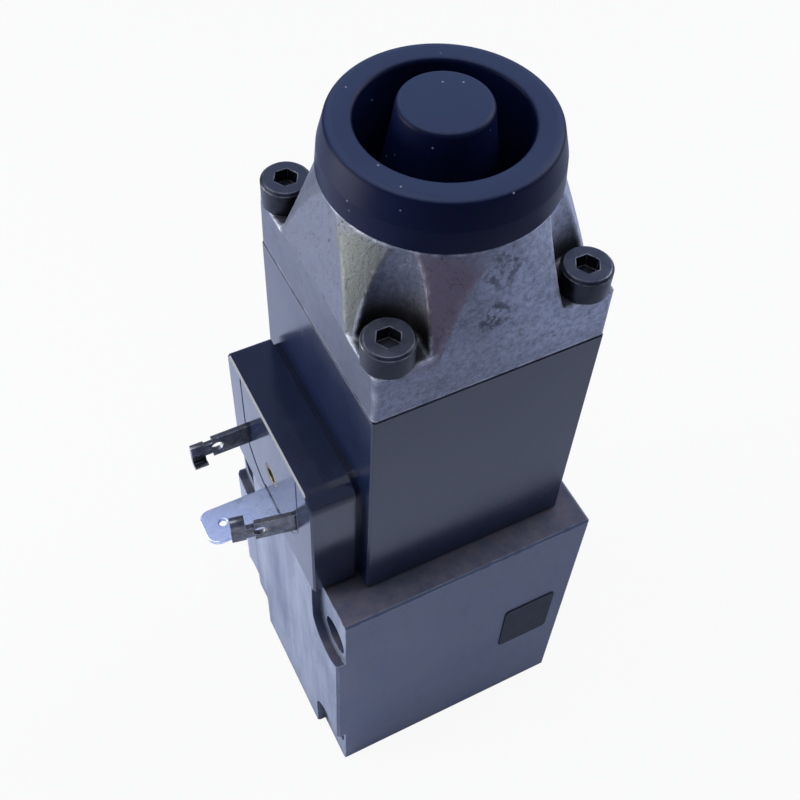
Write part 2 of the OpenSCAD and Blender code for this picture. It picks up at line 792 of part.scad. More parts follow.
module guide_seal() {
    color([0.1, 0.1, 0.11])
    o_ring(override_bore_r + guide_seal_cord_r + 0.05, guide_seal_cord_r,
        guide_flange_top - guide_seal_cord_r - 0.2);
}

// Cap: outer wall over the rim of the cover, flat ring, and a sleeve down to the bellows
module rubber_cap() {
    outer_r = cap_d / 2;
    top_r = cap_top_d / 2;
    shoulder = cap_height * 0.35;
    wall_draw = 0.2;
    shoulder_draw = 0.55;
    sleeve_r = boot_space_r - 0.1;
    ring_under = neck_top + rim_height + 0.1;
    color([0.14, 0.15, 0.2])
    rotate_extrude()
        polygon([
            [rim_r + 0.1, neck_top + 0.05], [outer_r, neck_top + 0.05],
            [outer_r - wall_draw, cap_top - cap_height * 0.55], [outer_r - shoulder_draw, cap_top - shoulder],
            [top_r, cap_top - 0.35], [top_r - 0.45, cap_top], [cap_opening_r + 0.4, cap_top],
            [cap_opening_r, cap_top - 0.4], [cap_opening_r + 0.05, sleeve_foot],
            [sleeve_r, sleeve_foot], [sleeve_r, ring_under], [rim_r + 0.1, ring_under]
        ]);
}

// Cone of thin rubber between the sleeve of the cap and the skirt of the button
module boot_web() {
    outer_r = cap_opening_r - rest_gap;
    color([0.14, 0.15, 0.2])
    rotate_extrude()
        polygon([
            [outer_r, sleeve_foot], [outer_r, sleeve_foot + web_t],
            [button_skirt_r + 0.2, button_skirt_z], [button_skirt_r - web_t, button_skirt_z],
            [outer_r - web_t - 0.4, sleeve_foot]
        ]);
}

module manual_button() {
    top_r = button_d / 2;
    edge = 0.7;
    edge_round = 0.2;
    shell = 1.8;
    hollow = 3;
    color([0.14, 0.15, 0.2])
    rotate_extrude()
        polygon([
            [0, button_boss_z], [button_boss_r, button_boss_z],
            [button_boss_r, button_skirt_z + hollow], [button_skirt_r - shell, button_skirt_z + rest_gap],
            [button_skirt_r, button_skirt_z + rest_gap],
            [button_skirt_r - edge, button_skirt_z + hollow - edge],
            [top_r + edge, button_top - 2 * button_rise], [top_r, button_top - edge],
            [top_r - edge_round, button_top - edge_round], [top_r - edge, button_top], [0, button_top]
        ]);
}

module armature() {
    vent_r = 1.2;
    color([0.68, 0.69, 0.7])
    difference() {
        translate([0, 0, armature_foot]) cylinder(r = armature_r, h = armature_length);
        for (a = [90, 270])
            rotate([0, 0, a]) translate([armature_r - 2.5, 0, armature_foot - cut])
                cylinder(r = vent_r, h = armature_length + 2 * cut);
    }
}

module push_pin() {
    color([0.8, 0.8, 0.82])
    translate([0, 0, push_pin_foot]) cylinder(r = pin_r, h = push_pin_top - push_pin_foot);
}

module poppet() {
    body_foot = poppet_lower_z + cone_h;
    body_top = poppet_upper_z - cone_h;
    color([0.8, 0.8, 0.82])
    rotate_extrude()
        polygon([
            [0, follower_top], [poppet_stem_r, follower_top],
            [poppet_stem_r, poppet_lower_z - stem_cone_h], [cone_seat_r, poppet_lower_z],
            [poppet_r, body_foot], [poppet_r, body_top], [cone_seat_r, poppet_upper_z],
            [poppet_nose_r, poppet_upper_z + nose_cone_h], [poppet_nose_r, poppet_nose_top],
            [0, poppet_nose_top]
        ]);
}

module spring_follower() {
    spigot_r = spring_r - spring_wire_r - 0.3;
    color([0.7, 0.71, 0.73])
    union() {
        translate([0, 0, follower_z]) cylinder(r = follower_r, h = follower_t);
        translate([0, 0, follower_z - 1]) cylinder(r = spigot_r, h = 1.5);
    }
}

// Coil spring swept along a helix, point by point
function helix_point(i, rise) =
    let (a = 360 * i / spring_steps)
    [spring_r * cos(a), spring_r * sin(a), rise * i / (spring_turns * spring_steps)];

function wire_ring(i, rise) =
    let (a = 360 * i / spring_steps, p = helix_point(i, rise))
    [for (s = [0 : spring_sides - 1])
        let (b = 360 * s / spring_sides)
        p + spring_wire_r * [cos(b) * cos(a), cos(b) * sin(a), sin(b)]];

module poppet_spring() {
    low = spring_foot + spring_wire_r;
    rise = follower_z - spring_wire_r - low;
    last = spring_turns * spring_steps;
    points = [for (i = [0 : last]) each wire_ring(i, rise)];
    sides = [for (i = [0 : last - 1], s = [0 : spring_sides - 1])
        let (t = (s + 1) % spring_sides)
        [i * spring_sides + s, i * spring_sides + t, (i + 1) * spring_sides + t,
            (i + 1) * spring_sides + s]];
    first_end = [[for (s = [spring_sides - 1 : -1 : 0]) s]];
    last_end = [[for (s = [0 : spring_sides - 1]) last * spring_sides + s]];
    color([0.75, 0.75, 0.76])
    translate([0, 0, low])
        polyhedron(points = points, faces = concat(sides, first_end, last_end), convexity = 8);
}

module override_pin() {
    color([0.8, 0.8, 0.82])
    union() {
        translate([0, 0, override_foot]) cylinder(r = override_r, h = override_top - override_foot);
        translate([0, 0, override_foot]) cylinder(r = collar_r, h = collar_t);
    }
}

valve_body();
lower_seat();
upper_seat();
guide_bush();
sleeve_seals();
port_seals();
pole_piece();
pole_seal();
antistick_shim();
armature_tube();
base_gasket();
yoke_plate();
solenoid_housing();
coil_bobbin();
coil_winding();
connector_base();
connector_insert();
near_terminal();
far_terminal();
earth_terminal();
cover_gasket();
cast_cover();
cover_screws();
override_guide();
guide_seal();
rubber_cap();
boot_web();
armature();
push_pin();
poppet();
spring_follower();
poppet_spring();
manual_button();
override_pin();
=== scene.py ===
# %% [markdown]
# # A solenoid valve, dressed for a studio photograph
# The construction is already made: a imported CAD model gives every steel, aluminium and plastic piece at its
# real place and size. This lesson adds what a drawing leaves out: worn edges, cast skin, moulded gloss,
# rubber that has rolled corners, and light. Everything is in metres, and +Z runs up the axis of the valve.

# %% Load the frame
import json
import math

import bmesh
import bpy
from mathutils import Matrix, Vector

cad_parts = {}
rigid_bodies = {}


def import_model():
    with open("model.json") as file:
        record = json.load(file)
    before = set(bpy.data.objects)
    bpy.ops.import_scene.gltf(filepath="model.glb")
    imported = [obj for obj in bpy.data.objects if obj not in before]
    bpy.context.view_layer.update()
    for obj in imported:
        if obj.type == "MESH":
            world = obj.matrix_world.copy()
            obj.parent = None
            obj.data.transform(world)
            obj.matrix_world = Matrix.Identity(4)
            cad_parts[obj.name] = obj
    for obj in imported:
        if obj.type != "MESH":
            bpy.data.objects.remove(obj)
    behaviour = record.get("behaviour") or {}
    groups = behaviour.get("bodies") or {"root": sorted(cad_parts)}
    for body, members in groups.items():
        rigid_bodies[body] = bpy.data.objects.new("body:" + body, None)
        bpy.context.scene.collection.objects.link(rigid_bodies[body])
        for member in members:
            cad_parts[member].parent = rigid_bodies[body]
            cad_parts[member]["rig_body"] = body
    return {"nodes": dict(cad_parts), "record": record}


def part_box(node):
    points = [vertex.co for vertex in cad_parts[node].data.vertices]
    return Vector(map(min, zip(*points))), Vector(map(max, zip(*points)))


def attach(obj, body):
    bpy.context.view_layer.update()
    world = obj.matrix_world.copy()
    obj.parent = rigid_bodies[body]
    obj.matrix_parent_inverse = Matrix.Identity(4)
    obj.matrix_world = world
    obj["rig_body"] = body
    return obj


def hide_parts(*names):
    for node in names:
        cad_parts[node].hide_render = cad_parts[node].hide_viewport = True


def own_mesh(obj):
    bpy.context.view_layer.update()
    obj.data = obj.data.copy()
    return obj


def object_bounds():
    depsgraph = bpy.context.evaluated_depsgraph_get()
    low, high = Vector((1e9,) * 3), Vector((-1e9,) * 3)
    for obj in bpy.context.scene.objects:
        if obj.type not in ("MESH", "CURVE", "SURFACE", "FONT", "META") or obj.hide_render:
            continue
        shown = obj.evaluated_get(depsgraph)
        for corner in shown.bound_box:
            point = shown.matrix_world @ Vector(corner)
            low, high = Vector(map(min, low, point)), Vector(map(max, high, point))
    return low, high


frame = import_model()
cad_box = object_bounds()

nodes = frame["nodes"]
print("nodes in the frame:", len(nodes))

# %% [markdown]
# Machine parts are measured in millimetres and Blender counts in metres, so one short function turns the one
# into the other. Colours are given as sRGB hex values; the renderer wants linear light, so another
# function takes off the screen's curve. One more adds a shader node with its settings and its links, which
# keeps every material below short enough to read as a recipe.

# %% Small helpers
def mm(value):
    """Millimetres as metres, for a number or a vector."""
    return value * 0.001


def mm_each(values):
    return [mm(value) for value in values]


def linear(hex_colour):
    parts = [int(hex_colour[i:i + 2], 16) / 255 for i in (1, 3, 5)]
    return tuple(p / 12.92 if p <= 0.04045 else ((p + 0.055) / 1.055) ** 2.4 for p in parts) + (1.0,)


def add(tree, kind, sockets=None, **settings):
    """Adds a node. A socket takes a value, a hex colour, another node or one of that node's outputs."""
    node = tree.nodes.new(kind)
    for key, value in settings.items():
        setattr(node, key, value)
    for key, value in (sockets or {}).items():
        socket = node.inputs[key]
        if isinstance(value, bpy.types.Node):
            value = value.outputs[0]
        if isinstance(value, bpy.types.NodeSocket):
            tree.links.new(value, socket)
        else:
            socket.default_value = linear(value) if isinstance(value, str) else value
    return node


def pattern_scale(size_mm):
    """The Scale of a texture whose features are about size_mm across, with object coordinates in metres."""
    return 1000 / size_mm


def new_object(name, data):
    made = bpy.data.objects.new(name, data)
    bpy.context.scene.collection.objects.link(made)
    return made


print("a 2 mm grain has the scale", pattern_scale(2), "and mid grey is", round(linear("#808080")[0], 3))

# %% [markdown]
# The camera comes first, so that every later step can be judged in the photograph's own view. It stood close,
# about 18 cm from the middle of the valve, to the left of its front and high up. A close camera exaggerates
# depth, which is why the block below looks so much smaller than the cap. The roll is the tilt of the hand
# that held it.

# %% Camera
LENS_MM = 51.8
SENSOR_MM = 36
CLIP_START_MM = 5
CAMERA_AT_MM = (-57.1, -92.6, 222.6)
CAMERA_TURN_DEG = (36.40, -2.19, -27.04)

camera_data = bpy.data.cameras.new("camera")
camera_data.lens = LENS_MM
camera_data.sensor_width = SENSOR_MM
camera_data.clip_start = mm(CLIP_START_MM)
camera = new_object("camera", camera_data)
camera.location = mm_each(CAMERA_AT_MM)
camera.rotation_euler = [math.radians(v) for v in CAMERA_TURN_DEG]
bpy.context.scene.camera = camera
bpy.context.scene.view_settings.view_transform = "Standard"
print("camera height above the cap, mm:", round(CAMERA_AT_MM[2] - cad_box[1].z * 1000, 1))

# %% [markdown]
# Black lacquer and moulded thermoset have hardly any colour of their own: what the eye reads is the room that
# they mirror. So the room matters as much as the paint. Three kinds of ray ask the world three questions.
# Light that falls on the object finds a dim white room. Mirror rays find a brighter one in the pale blue of
# daylit walls. Only the camera, and what it sees through a clear thing, finds pure white. Soft boxes do the
# rest: one overhead, one on the right and two on the left, where the low one lights the paper beside the
# object. The front gets none, because the photographer stood there, and so the front of the cap falls into
# shade.

# %% World and lamps
ROOM_LIGHT = 0.22
MIRROR_LIGHT = 0.8
ROOM_TINT = "#aebbe4"
VALVE_MIDDLE_MM = (0, 0, 80)

world = bpy.data.worlds.new("studio")
bpy.context.scene.world = world
world.use_nodes = True
sky = world.node_tree
sky.nodes.clear()
ray = add(sky, "ShaderNodeLightPath").outputs
falls = add(sky, "ShaderNodeBackground", {"Color": "#ffffff", "Strength": ROOM_LIGHT})
mirrored = add(sky, "ShaderNodeBackground", {"Color": ROOM_TINT, "Strength": MIRROR_LIGHT})
white = add(sky, "ShaderNodeBackground", {"Color": "#ffffff", "Strength": 1.0})
through = add(sky, "ShaderNodeMath", {0: ray["Is Camera Ray"], 1: ray["Is Transmission Ray"]},
              operation="MAXIMUM")
room = add(sky, "ShaderNodeMixShader", {0: ray["Is Glossy Ray"], 1: falls, 2: mirrored})
room = add(sky, "ShaderNodeMixShader", {0: through, 1: room, 2: white})
add(sky, "ShaderNodeOutputWorld", {"Surface": room})


def soft_box(name, place_mm, size_mm, power):
    data = bpy.data.lights.new(name, "AREA")
    data.size = mm(size_mm)
    data.energy = power
    lamp = new_object(name, data)
    lamp.location = mm_each(place_mm)
    direction = Vector(mm_each(VALVE_MIDDLE_MM)) - lamp.location
    lamp.rotation_euler = direction.to_track_quat("-Z", "Y").to_euler()
    print(name, "stands", round(direction.length * 1000), "mm away at", power, "W")


soft_box("left_box", (-520, 260, 420), 420, 1.1)
soft_box("low_left_box", (-300, 130, 90), 220, 1.0)
soft_box("right_box", (520, -40, 380), 420, 2.3)
soft_box("top_box", (-220, 60, 780), 520, 1.9)

# %% [markdown]
# The floor is a sheet of white paper. A real sheet photographs a little grey, so camera rays see most of it
# as if it glowed at exactly white; the rest stays plain diffuse paper, which keeps a faint shadow. Mirror
# rays meet the plain sheet alone, lit on the left and shaded in front, and a little lighter and bluer than
# it is. That is why the left faces of this black object shine and the front ones stay dark.

# %% Floor
FLOOR_HALF_M = 1.6
PAPER_GLOW = 0.92
PAPER = "#bcc0ca"
PAPER_MIRRORED = "#d6e0ff"
CORNERS = ((-1, -1), (1, -1), (1, 1), (-1, 1))

paper = bpy.data.materials.new("white_paper")
paper.use_nodes = True
sheet = paper.node_tree
sheet.nodes.clear()
ray = add(sheet, "ShaderNodeLightPath").outputs
share = add(sheet, "ShaderNodeMath", {0: ray["Is Camera Ray"], 1: PAPER_GLOW}, operation="MULTIPLY")
tone = add(sheet, "ShaderNodeMix", {0: ray["Is Glossy Ray"], 6: PAPER, 7: PAPER_MIRRORED}, data_type="RGBA")
plain = add(sheet, "ShaderNodeBsdfDiffuse", {"Color": tone.outputs[2]})
glow = add(sheet, "ShaderNodeEmission", {"Color": "#ffffff", "Strength": 1.0})
both = add(sheet, "ShaderNodeMixShader", {0: share, 1: plain, 2: glow})
add(sheet, "ShaderNodeOutputMaterial", {"Surface": both})

floor_mesh = bpy.data.meshes.new("floor")
floor_corners = [(sx * FLOOR_HALF_M, sy * FLOOR_HALF_M, cad_box[0].z) for sx, sy in CORNERS]
floor_mesh.from_pydata(floor_corners, [], [(0, 1, 2, 3)])
floor_mesh.materials.append(paper)
floor = new_object("floor", floor_mesh)
print("the paper lies at z =", cad_box[0].z)

# %% [markdown]
# Every finish below is one Principled shader whose numbers start from the real stuff. Wear is not spread
# evenly, so each recipe is a base colour with layers over it, and each layer has a mask that says where it
# lies. Cloudy noise is the mask used most: it is cut between two values, and the closer they are, the harder
# the rims of its patches. Where the noise crosses its middle value there is a thin winding line, which serves
# as a crack. A stain is a patch of noise that fades out round one spot.

# %% Masks made of noise
def blotches(tree, at, size_mm, low, high, detail=6.0, stretch=(1, 1, 1), roughness=0.55):
    """Cloudy noise of about size_mm, cut between low and high to a mask from 0 to 1."""
    place = add(tree, "ShaderNodeVectorMath", {0: at, 1: stretch}, operation="MULTIPLY")
    noise = add(tree, "ShaderNodeTexNoise", {
        "Vector": place, "Scale": pattern_scale(size_mm), "Detail": detail, "Roughness": roughness})
    return add(tree, "ShaderNodeMapRange", {"Value": noise, "From Min": low, "From Max": high})


def cracks(tree, at, size_mm, width):
    """Thin winding lines, broken up by larger clouds. The width is a part of the noise's own range."""
    noise = add(tree, "ShaderNodeTexNoise", {
        "Vector": at, "Scale": pattern_scale(size_mm), "Detail": 9.0, "Roughness": 0.6})
    off = add(tree, "ShaderNodeMath", {0: noise, 1: 0.5}, operation="SUBTRACT")
    near = add(tree, "ShaderNodeMath", {0: off}, operation="ABSOLUTE")
    line = add(tree, "ShaderNodeMapRange", {"Value": near, "From Min": width, "From Max": 0.3 * width})
    clouds = blotches(tree, at, 3 * size_mm, 0.5, 0.6)
    return add(tree, "ShaderNodeMath", {0: line, 1: clouds}, operation="MULTIPLY")


def stain(tree, at, centre_mm, reach_mm, patch_mm, low, high):
    """A broken patch that fades out at reach_mm from one spot."""
    away = add(tree, "ShaderNodeVectorMath", {0: at, 1: mm_each(centre_mm)}, operation="DISTANCE")
    disc = add(tree, "ShaderNodeMapRange", {
        "Value": away.outputs["Value"], "From Min": mm(reach_mm), "From Max": mm(0.6 * reach_mm)})
    patches = blotches(tree, at, patch_mm, low, high, 8.0)
    return add(tree, "ShaderNodeMath", {0: disc, 1: patches}, operation="MULTIPLY")


print("masks of noise: blotches, cracks and stain")

# %% [markdown]
# The other masks read the shape itself. The Bevel node gives the normal of a rounded edge; where it differs
# from the plain one there is an edge, and edges are what hands and tools rub bright, while on the casting the
# same mask paints a highlight. Ambient occlusion finds the corners and hollows, which are darkened as painted
# shade. The normal alone tells which way a face looks: spilt oil lies on what faces up, and painted light and
# shade make a top or a side lighter or darker.

# %% Masks made of the shape
UP = (0, 0, 1)
LEFT = (-1, 0, 0)
BARELY_BENT = 0.998
FACING_BARELY = 0.7
FACING_FULLY = 0.95


def edge_wear_and_highlight(tree, at, width_mm, patch_mm=2.5, sharpest=0.88):
    """Bright edges, broken up so that they aren't a drawn line: rubbed wear on most finishes, a painted
    highlight on the casting.
    """
    rounded = add(tree, "ShaderNodeBevel", {"Radius": mm(width_mm)}, samples=6)
    plain = add(tree, "ShaderNodeNewGeometry").outputs["Normal"]
    same = add(tree, "ShaderNodeVectorMath", {0: rounded, 1: plain}, operation="DOT_PRODUCT").outputs["Value"]
    edge = add(tree, "ShaderNodeMapRange", {"Value": same, "From Min": BARELY_BENT, "From Max": sharpest})
    patches = blotches(tree, at, patch_mm, 0.38, 0.6, 4.0)
    return add(tree, "ShaderNodeMath", {0: edge, 1: patches}, operation="MULTIPLY")


def corner_shade(tree, reach_mm, low=0.45, high=0.9):
    """Painted shade: darkens the corners and hollows that ambient occlusion finds."""
    shade = add(tree, "ShaderNodeAmbientOcclusion", {"Distance": mm(reach_mm)}, samples=8).outputs["AO"]
    return add(tree, "ShaderNodeMapRange", {"Value": shade, "From Min": high, "From Max": low})


def facing(tree, direction):
    """What faces one way."""
    normal = add(tree, "ShaderNodeNewGeometry").outputs["Normal"]
    share = add(tree, "ShaderNodeVectorMath", {0: normal, 1: direction}, operation="DOT_PRODUCT")
    return add(tree, "ShaderNodeMapRange", {
        "Value": share.outputs["Value"], "From Min": FACING_BARELY, "From Max": FACING_FULLY})


print("masks of the shape: edge_wear_and_highlight, corner_shade and facing")
print("a face counts as facing one way from", round(math.degrees(math.acos(FACING_BARELY))), "degrees off")

# %% [markdown]
# A recipe needs three more things: layers of colour laid over each other, bumps laid on bumps, and a material
# that starts empty and ends with one shader. The bumps stand for grain and not for shape, so all of them are
# shallow, a sixth of a millimetre at most. Each finish is kept under the name of the slot that it is for.

# %% Layers, relief and shader
FINISHES = {}


def paint(tree, base, layers):
    """A base colour with layers over it: each is a mask, the most that it covers, and a colour."""
    colour = base
    for mask, cover, over in layers:
        share = add(tree, "ShaderNodeMath", {0: mask, 1: cover}, operation="MULTIPLY")
        colour = add(tree, "ShaderNodeMix", {0: share, 6: colour, 7: over}, data_type="RGBA").outputs[2]
    return colour


def relief(tree, layers):
    """A normal with bumps on bumps: each is a mask, its depth in mm and its strength."""
    below = {}
    for mask, depth_mm, strength in layers:
        bump = add(tree, "ShaderNodeBump", {
            "Height": mask, "Distance": mm(depth_mm), "Strength": strength, **below})
        below = {"Normal": bump}
    return bump


def new_finish(name):
    """An empty material, its tree and its object coordinates."""
    material = bpy.data.materials.new(name)
    material.use_nodes = True
    material.node_tree.nodes.clear()
    return material, material.node_tree, add(material.node_tree, "ShaderNodeTexCoord").outputs["Object"]


def coat(slot, material, sockets):
    """Ends a finish with its one shader, and keeps it for its slot."""
    tree = material.node_tree
    shader = add(tree, "ShaderNodeBsdfPrincipled", sockets)
    add(tree, "ShaderNodeOutputMaterial", {"Surface": shader})
    FINISHES[slot] = material
    print(material.name, "has", len(tree.nodes), "nodes")


print("finishes so far:", len(FINISHES))

# %% [markdown]
# Phosphated steel: the block is milled, ground and dipped in a phosphate bath that leaves a thin crystal
# skin. A fully metallic shader would make it too bright and too clean; a plain grey would lose the sheen that
# a low light draws along it. A metallic value of 0.15 over a blue-grey base gives the satin of the real skin.
# Oil has dried in clouds on it, brown on what faces up. The left face is painted paler in vertical streaks, a
# painted reflection, and what faces up and the corners are painted darker, as painted shade. The edges have
# rubbed through to bright steel.

# %% Phosphated steel
material, tree, at = new_finish("phosphated_steel")
clouds = blotches(tree, at, 14, 0.35, 0.7, 8.0)
dried_oil = blotches(tree, at, 2.2, 0.3, 0.65, 10.0, roughness=0.7)
ledge = add(tree, "ShaderNodeMath", {0: facing(tree, UP), 1: dried_oil}, operation="MULTIPLY")
vertical_streak_noise = blotches(tree, at, 4, 0.2, 0.65, stretch=(1, 1, 0.12))
left_face_reflection_streaks = add(tree, "ShaderNodeMath", {0: facing(tree, LEFT), 1: vertical_streak_noise}, operation="MULTIPLY")
satin = add(tree, "ShaderNodeMapRange", {"Value": clouds, "To Min": 0.34, "To Max": 0.46})
crystals = blotches(tree, at, 0.35, 0.2, 0.8, 3.0)
skin = paint(tree, "#404a65", [
    (clouds, 0.6, "#4c5776"),
    # Painted reflection: the left face is made paler in vertical streaks.
    (left_face_reflection_streaks, 0.8, "#969eb0"),
    (blotches(tree, at, 3.0, 0.52, 0.68, 10.0, (1, 1, 0.4), 0.7), 0.4, "#3b4152"),
    # Painted shade: what faces up is made darker.
    (facing(tree, UP), 0.5, "#3d4356"),
    (ledge, 0.75, "#665f6c"),
    # Painted shade: corners and hollows are darkened.
    (corner_shade(tree, 5.0, 0.3, 0.85), 0.85, "#1c1f27"),
    (edge_wear_and_highlight(tree, at, 0.35), 0.8, "#aab3c4"),
])
coat("phosphated_steel", material, {
    "Base Color": skin, "Metallic": 0.15, "Roughness": satin,
    "Normal": relief(tree, [(crystals, 0.01, 0.35)])})

# %% [markdown]
# Black stoving lacquer on the steel of the solenoid: sprayed and baked, so it has a faint orange peel a
# millimetre or two across. A dielectric with an IOR of 1.5 mirrors a twenty-fifth of the room head on, and a
# fifth at a low angle, which is what makes the left face shine and the front look deep. No paint is pure
# black: a very dark blue keeps the shadow side alive.

# %% Black stoving lacquer
material, tree, at = new_finish("black_stoving_lacquer")
clouds = blotches(tree, at, 20, 0.3, 0.7, 5.0)
gloss = add(tree, "ShaderNodeMapRange", {"Value": clouds, "To Min": 0.2, "To Max": 0.28})
orange_peel = blotches(tree, at, 1.8, 0.2, 0.8, 1.0)
dust = blotches(tree, at, 0.25, 0.2, 0.8, 2.0)
lacquer = paint(tree, "#0b152e", [
    (clouds, 1.0, "#101b38"),
    # Painted shade: corners and hollows are darkened.
    (corner_shade(tree, 2.0), 0.5, "#0a0c14"),
    (edge_wear_and_highlight(tree, at, 0.25), 0.6, "#6b7489"),
])
coat("black_lacquered_steel", material, {
    "Base Color": lacquer, "Roughness": gloss, "IOR": 1.5,
    "Normal": relief(tree, [(orange_peel, 0.008, 0.2), (dust, 0.003, 0.2)])})

# %% [markdown]
# The cover is a die casting, and its dirt follows its form. The neck is a cone cut by four sloping planes,
# with a pocket scooped out beside each screw. Grease lies in the pockets, so one mask finds the points that
# are near a screw and above the flange. An oil film lies on the cone only, so a second mask finds the points
# whose distance from the axis is the cone's radius at their height. The same four numbers of the cone cut the
# shape itself further down.

# %% Where dirt lies on the casting
FLANGE_TOP_MM = 112.05
NECK_TOP_MM = 125.2
CONE_FOOT_R_MM = 20.25
CONE_TOP_R_MM = 15.25
SCREW_MIDDLE_MM = (-0.5, -0.2, 0)
SCREW_FROM_MIDDLE_MM = (14.2, 15.3, 0)
NECK_FADES_IN_MM = (0.2, 0.7)
GREASE_FADES_OUT_MM = (5.7, 5.1)
FILM_FADES_IN_MM = (-0.35, -0.12)
LEVEL = (1, 1, 0)

material, tree, at = new_finish("die_cast_aluminium")
height = add(tree, "ShaderNodeSeparateXYZ", {0: at}).outputs["Z"]
on_neck = add(tree, "ShaderNodeMapRange", {
    "Value": height, "From Min": mm(FLANGE_TOP_MM + NECK_FADES_IN_MM[0]),
    "From Max": mm(FLANGE_TOP_MM + NECK_FADES_IN_MM[1])})
from_middle = add(tree, "ShaderNodeVectorMath", {0: at, 1: mm_each(SCREW_MIDDLE_MM)}, operation="SUBTRACT")
from_middle = add(tree, "ShaderNodeVectorMath", {0: from_middle, 1: LEVEL}, operation="MULTIPLY")
folded = add(tree, "ShaderNodeVectorMath", {0: from_middle}, operation="ABSOLUTE")
from_screw = add(tree, "ShaderNodeVectorMath", {0: folded, 1: mm_each(SCREW_FROM_MIDDLE_MM)},
                 operation="DISTANCE").outputs["Value"]
by_screw = add(tree, "ShaderNodeMapRange", {
    "Value": from_screw, "From Min": mm(GREASE_FADES_OUT_MM[0]), "From Max": mm(GREASE_FADES_OUT_MM[1])})
pocket = add(tree, "ShaderNodeMath", {0: by_screw, 1: on_neck}, operation="MULTIPLY")

flattened = add(tree, "ShaderNodeVectorMath", {0: at, 1: LEVEL}, operation="MULTIPLY")
from_axis = add(tree, "ShaderNodeVectorMath", {0: flattened}, operation="LENGTH").outputs["Value"]
cone_r = add(tree, "ShaderNodeMapRange", {
    "Value": height, "From Min": mm(FLANGE_TOP_MM), "From Max": mm(NECK_TOP_MM),
    "To Min": mm(CONE_FOOT_R_MM), "To Max": mm(CONE_TOP_R_MM)})
outside = add(tree, "ShaderNodeMath", {0: from_axis, 1: cone_r}, operation="SUBTRACT")
on_cone = add(tree, "ShaderNodeMapRange", {
    "Value": outside, "From Min": mm(FILM_FADES_IN_MM[0]), "From Max": mm(FILM_FADES_IN_MM[1])})
cone_lean = math.degrees(math.atan2(CONE_FOOT_R_MM - CONE_TOP_R_MM, NECK_TOP_MM - FLANGE_TOP_MM))
print("the cone leans in by", round(cone_lean, 1), "degrees")

# %% [markdown]
# Die-cast aluminium: the melt chills against the mould and leaves a grey skin with dark specks, flow marks
# and a grain of a few tenths of a millimetre. The metal is rough, so it shows the light as broad patches and
# no mirror images. Years in a workshop have added an olive oil film on one side of the near corner, a reddish
# brown one on the other, brown grease in the pockets and two darker spots on the front plane. Painted light
# and shade lie over them: a highlight on the rims and ridges, shade in the corners, a darker left side and a
# lighter patch on the right front.

# %% Die-cast aluminium
OLIVE_SPOT_MM = (-15.5, -8.0, 118.5)
BROWN_SPOT_MM = (-8.5, -14.5, 118)
RIGHT_FRONT_LIGHT_SPOT_MM = (13, -14, 117)
HIGH_GREASE_MM = (0.3, -15.6, 121.5)
LOW_GREASE_MM = (-1.0, -17.8, 115.0)

clouds = blotches(tree, at, 7, 0.3, 0.7, 8.0)
grain = blotches(tree, at, 0.8, 0.4, 0.62, 8.0, roughness=0.75)
fine_grain = blotches(tree, at, 0.5, 0.2, 0.8, roughness=0.7)
pits = blotches(tree, at, 0.8, 0.58, 0.68, 10.0, roughness=0.8)
rough = add(tree, "ShaderNodeMapRange", {"Value": clouds, "To Min": 0.38, "To Max": 0.52})
film = {}
for spot, place_mm, reach_mm in (("olive", OLIVE_SPOT_MM, 9), ("brown", BROWN_SPOT_MM, 10)):
    patch = stain(tree, at, place_mm, reach_mm, 4.0, 0.1, 0.35)
    film[spot] = add(tree, "ShaderNodeMath", {0: patch, 1: on_cone}, operation="MULTIPLY")
skin = paint(tree, "#717582", [
    (clouds, 0.8, "#8b91a1"),
    # Painted light: a lighter patch on the right front of the cone.
    (stain(tree, at, RIGHT_FRONT_LIGHT_SPOT_MM, 17, 5.0, 0.1, 0.4), 0.65, "#a7aec2"),
    # Painted shade: what faces left is made darker.
    (facing(tree, LEFT), 0.85, "#4f5462"),
    (grain, 0.6, "#50535e"),
    (film["brown"], 0.9, "#695c67"),
    (film["olive"], 0.85, "#5f6158"),
    (pocket, 0.7, "#57534f"),
    (stain(tree, at, HIGH_GREASE_MM, 3.4, 1.6, 0.48, 0.58), 0.6, "#34353a"),
    (stain(tree, at, LOW_GREASE_MM, 3.0, 1.3, 0.5, 0.58), 0.7, "#2c2d32"),
    (cracks(tree, at, 2.2, 0.02), 0.5, "#3c3d44"),
    (pits, 0.6, "#303136"),
    # Painted shade: corners and hollows are darkened, under the cap most of all.
    (corner_shade(tree, 4.0, 0.4, 0.9), 0.9, "#222226"),
    # Painted highlight: the rims of the pockets and the ridges are made nearly white.
    (edge_wear_and_highlight(tree, at, 0.8, sharpest=0.97), 0.9, "#e2e5ec"),
])
coat("cast_aluminium", material, {
    "Base Color": skin, "Metallic": 0.75, "Roughness": rough,
    "Normal": relief(tree, [(fine_grain, 0.09, 0.7), (pits, -0.06, 0.8)])})

# %% [markdown]
# Screws of blackened steel: a hot oxide bath turns the surface nearly black and leaves it slightly oily. The
# rims of the heads and of the hexagon are bright, because every key and socket has scraped them. The socket
# is darkened as painted shade, and the upper sides are painted lighter, as painted light from above.

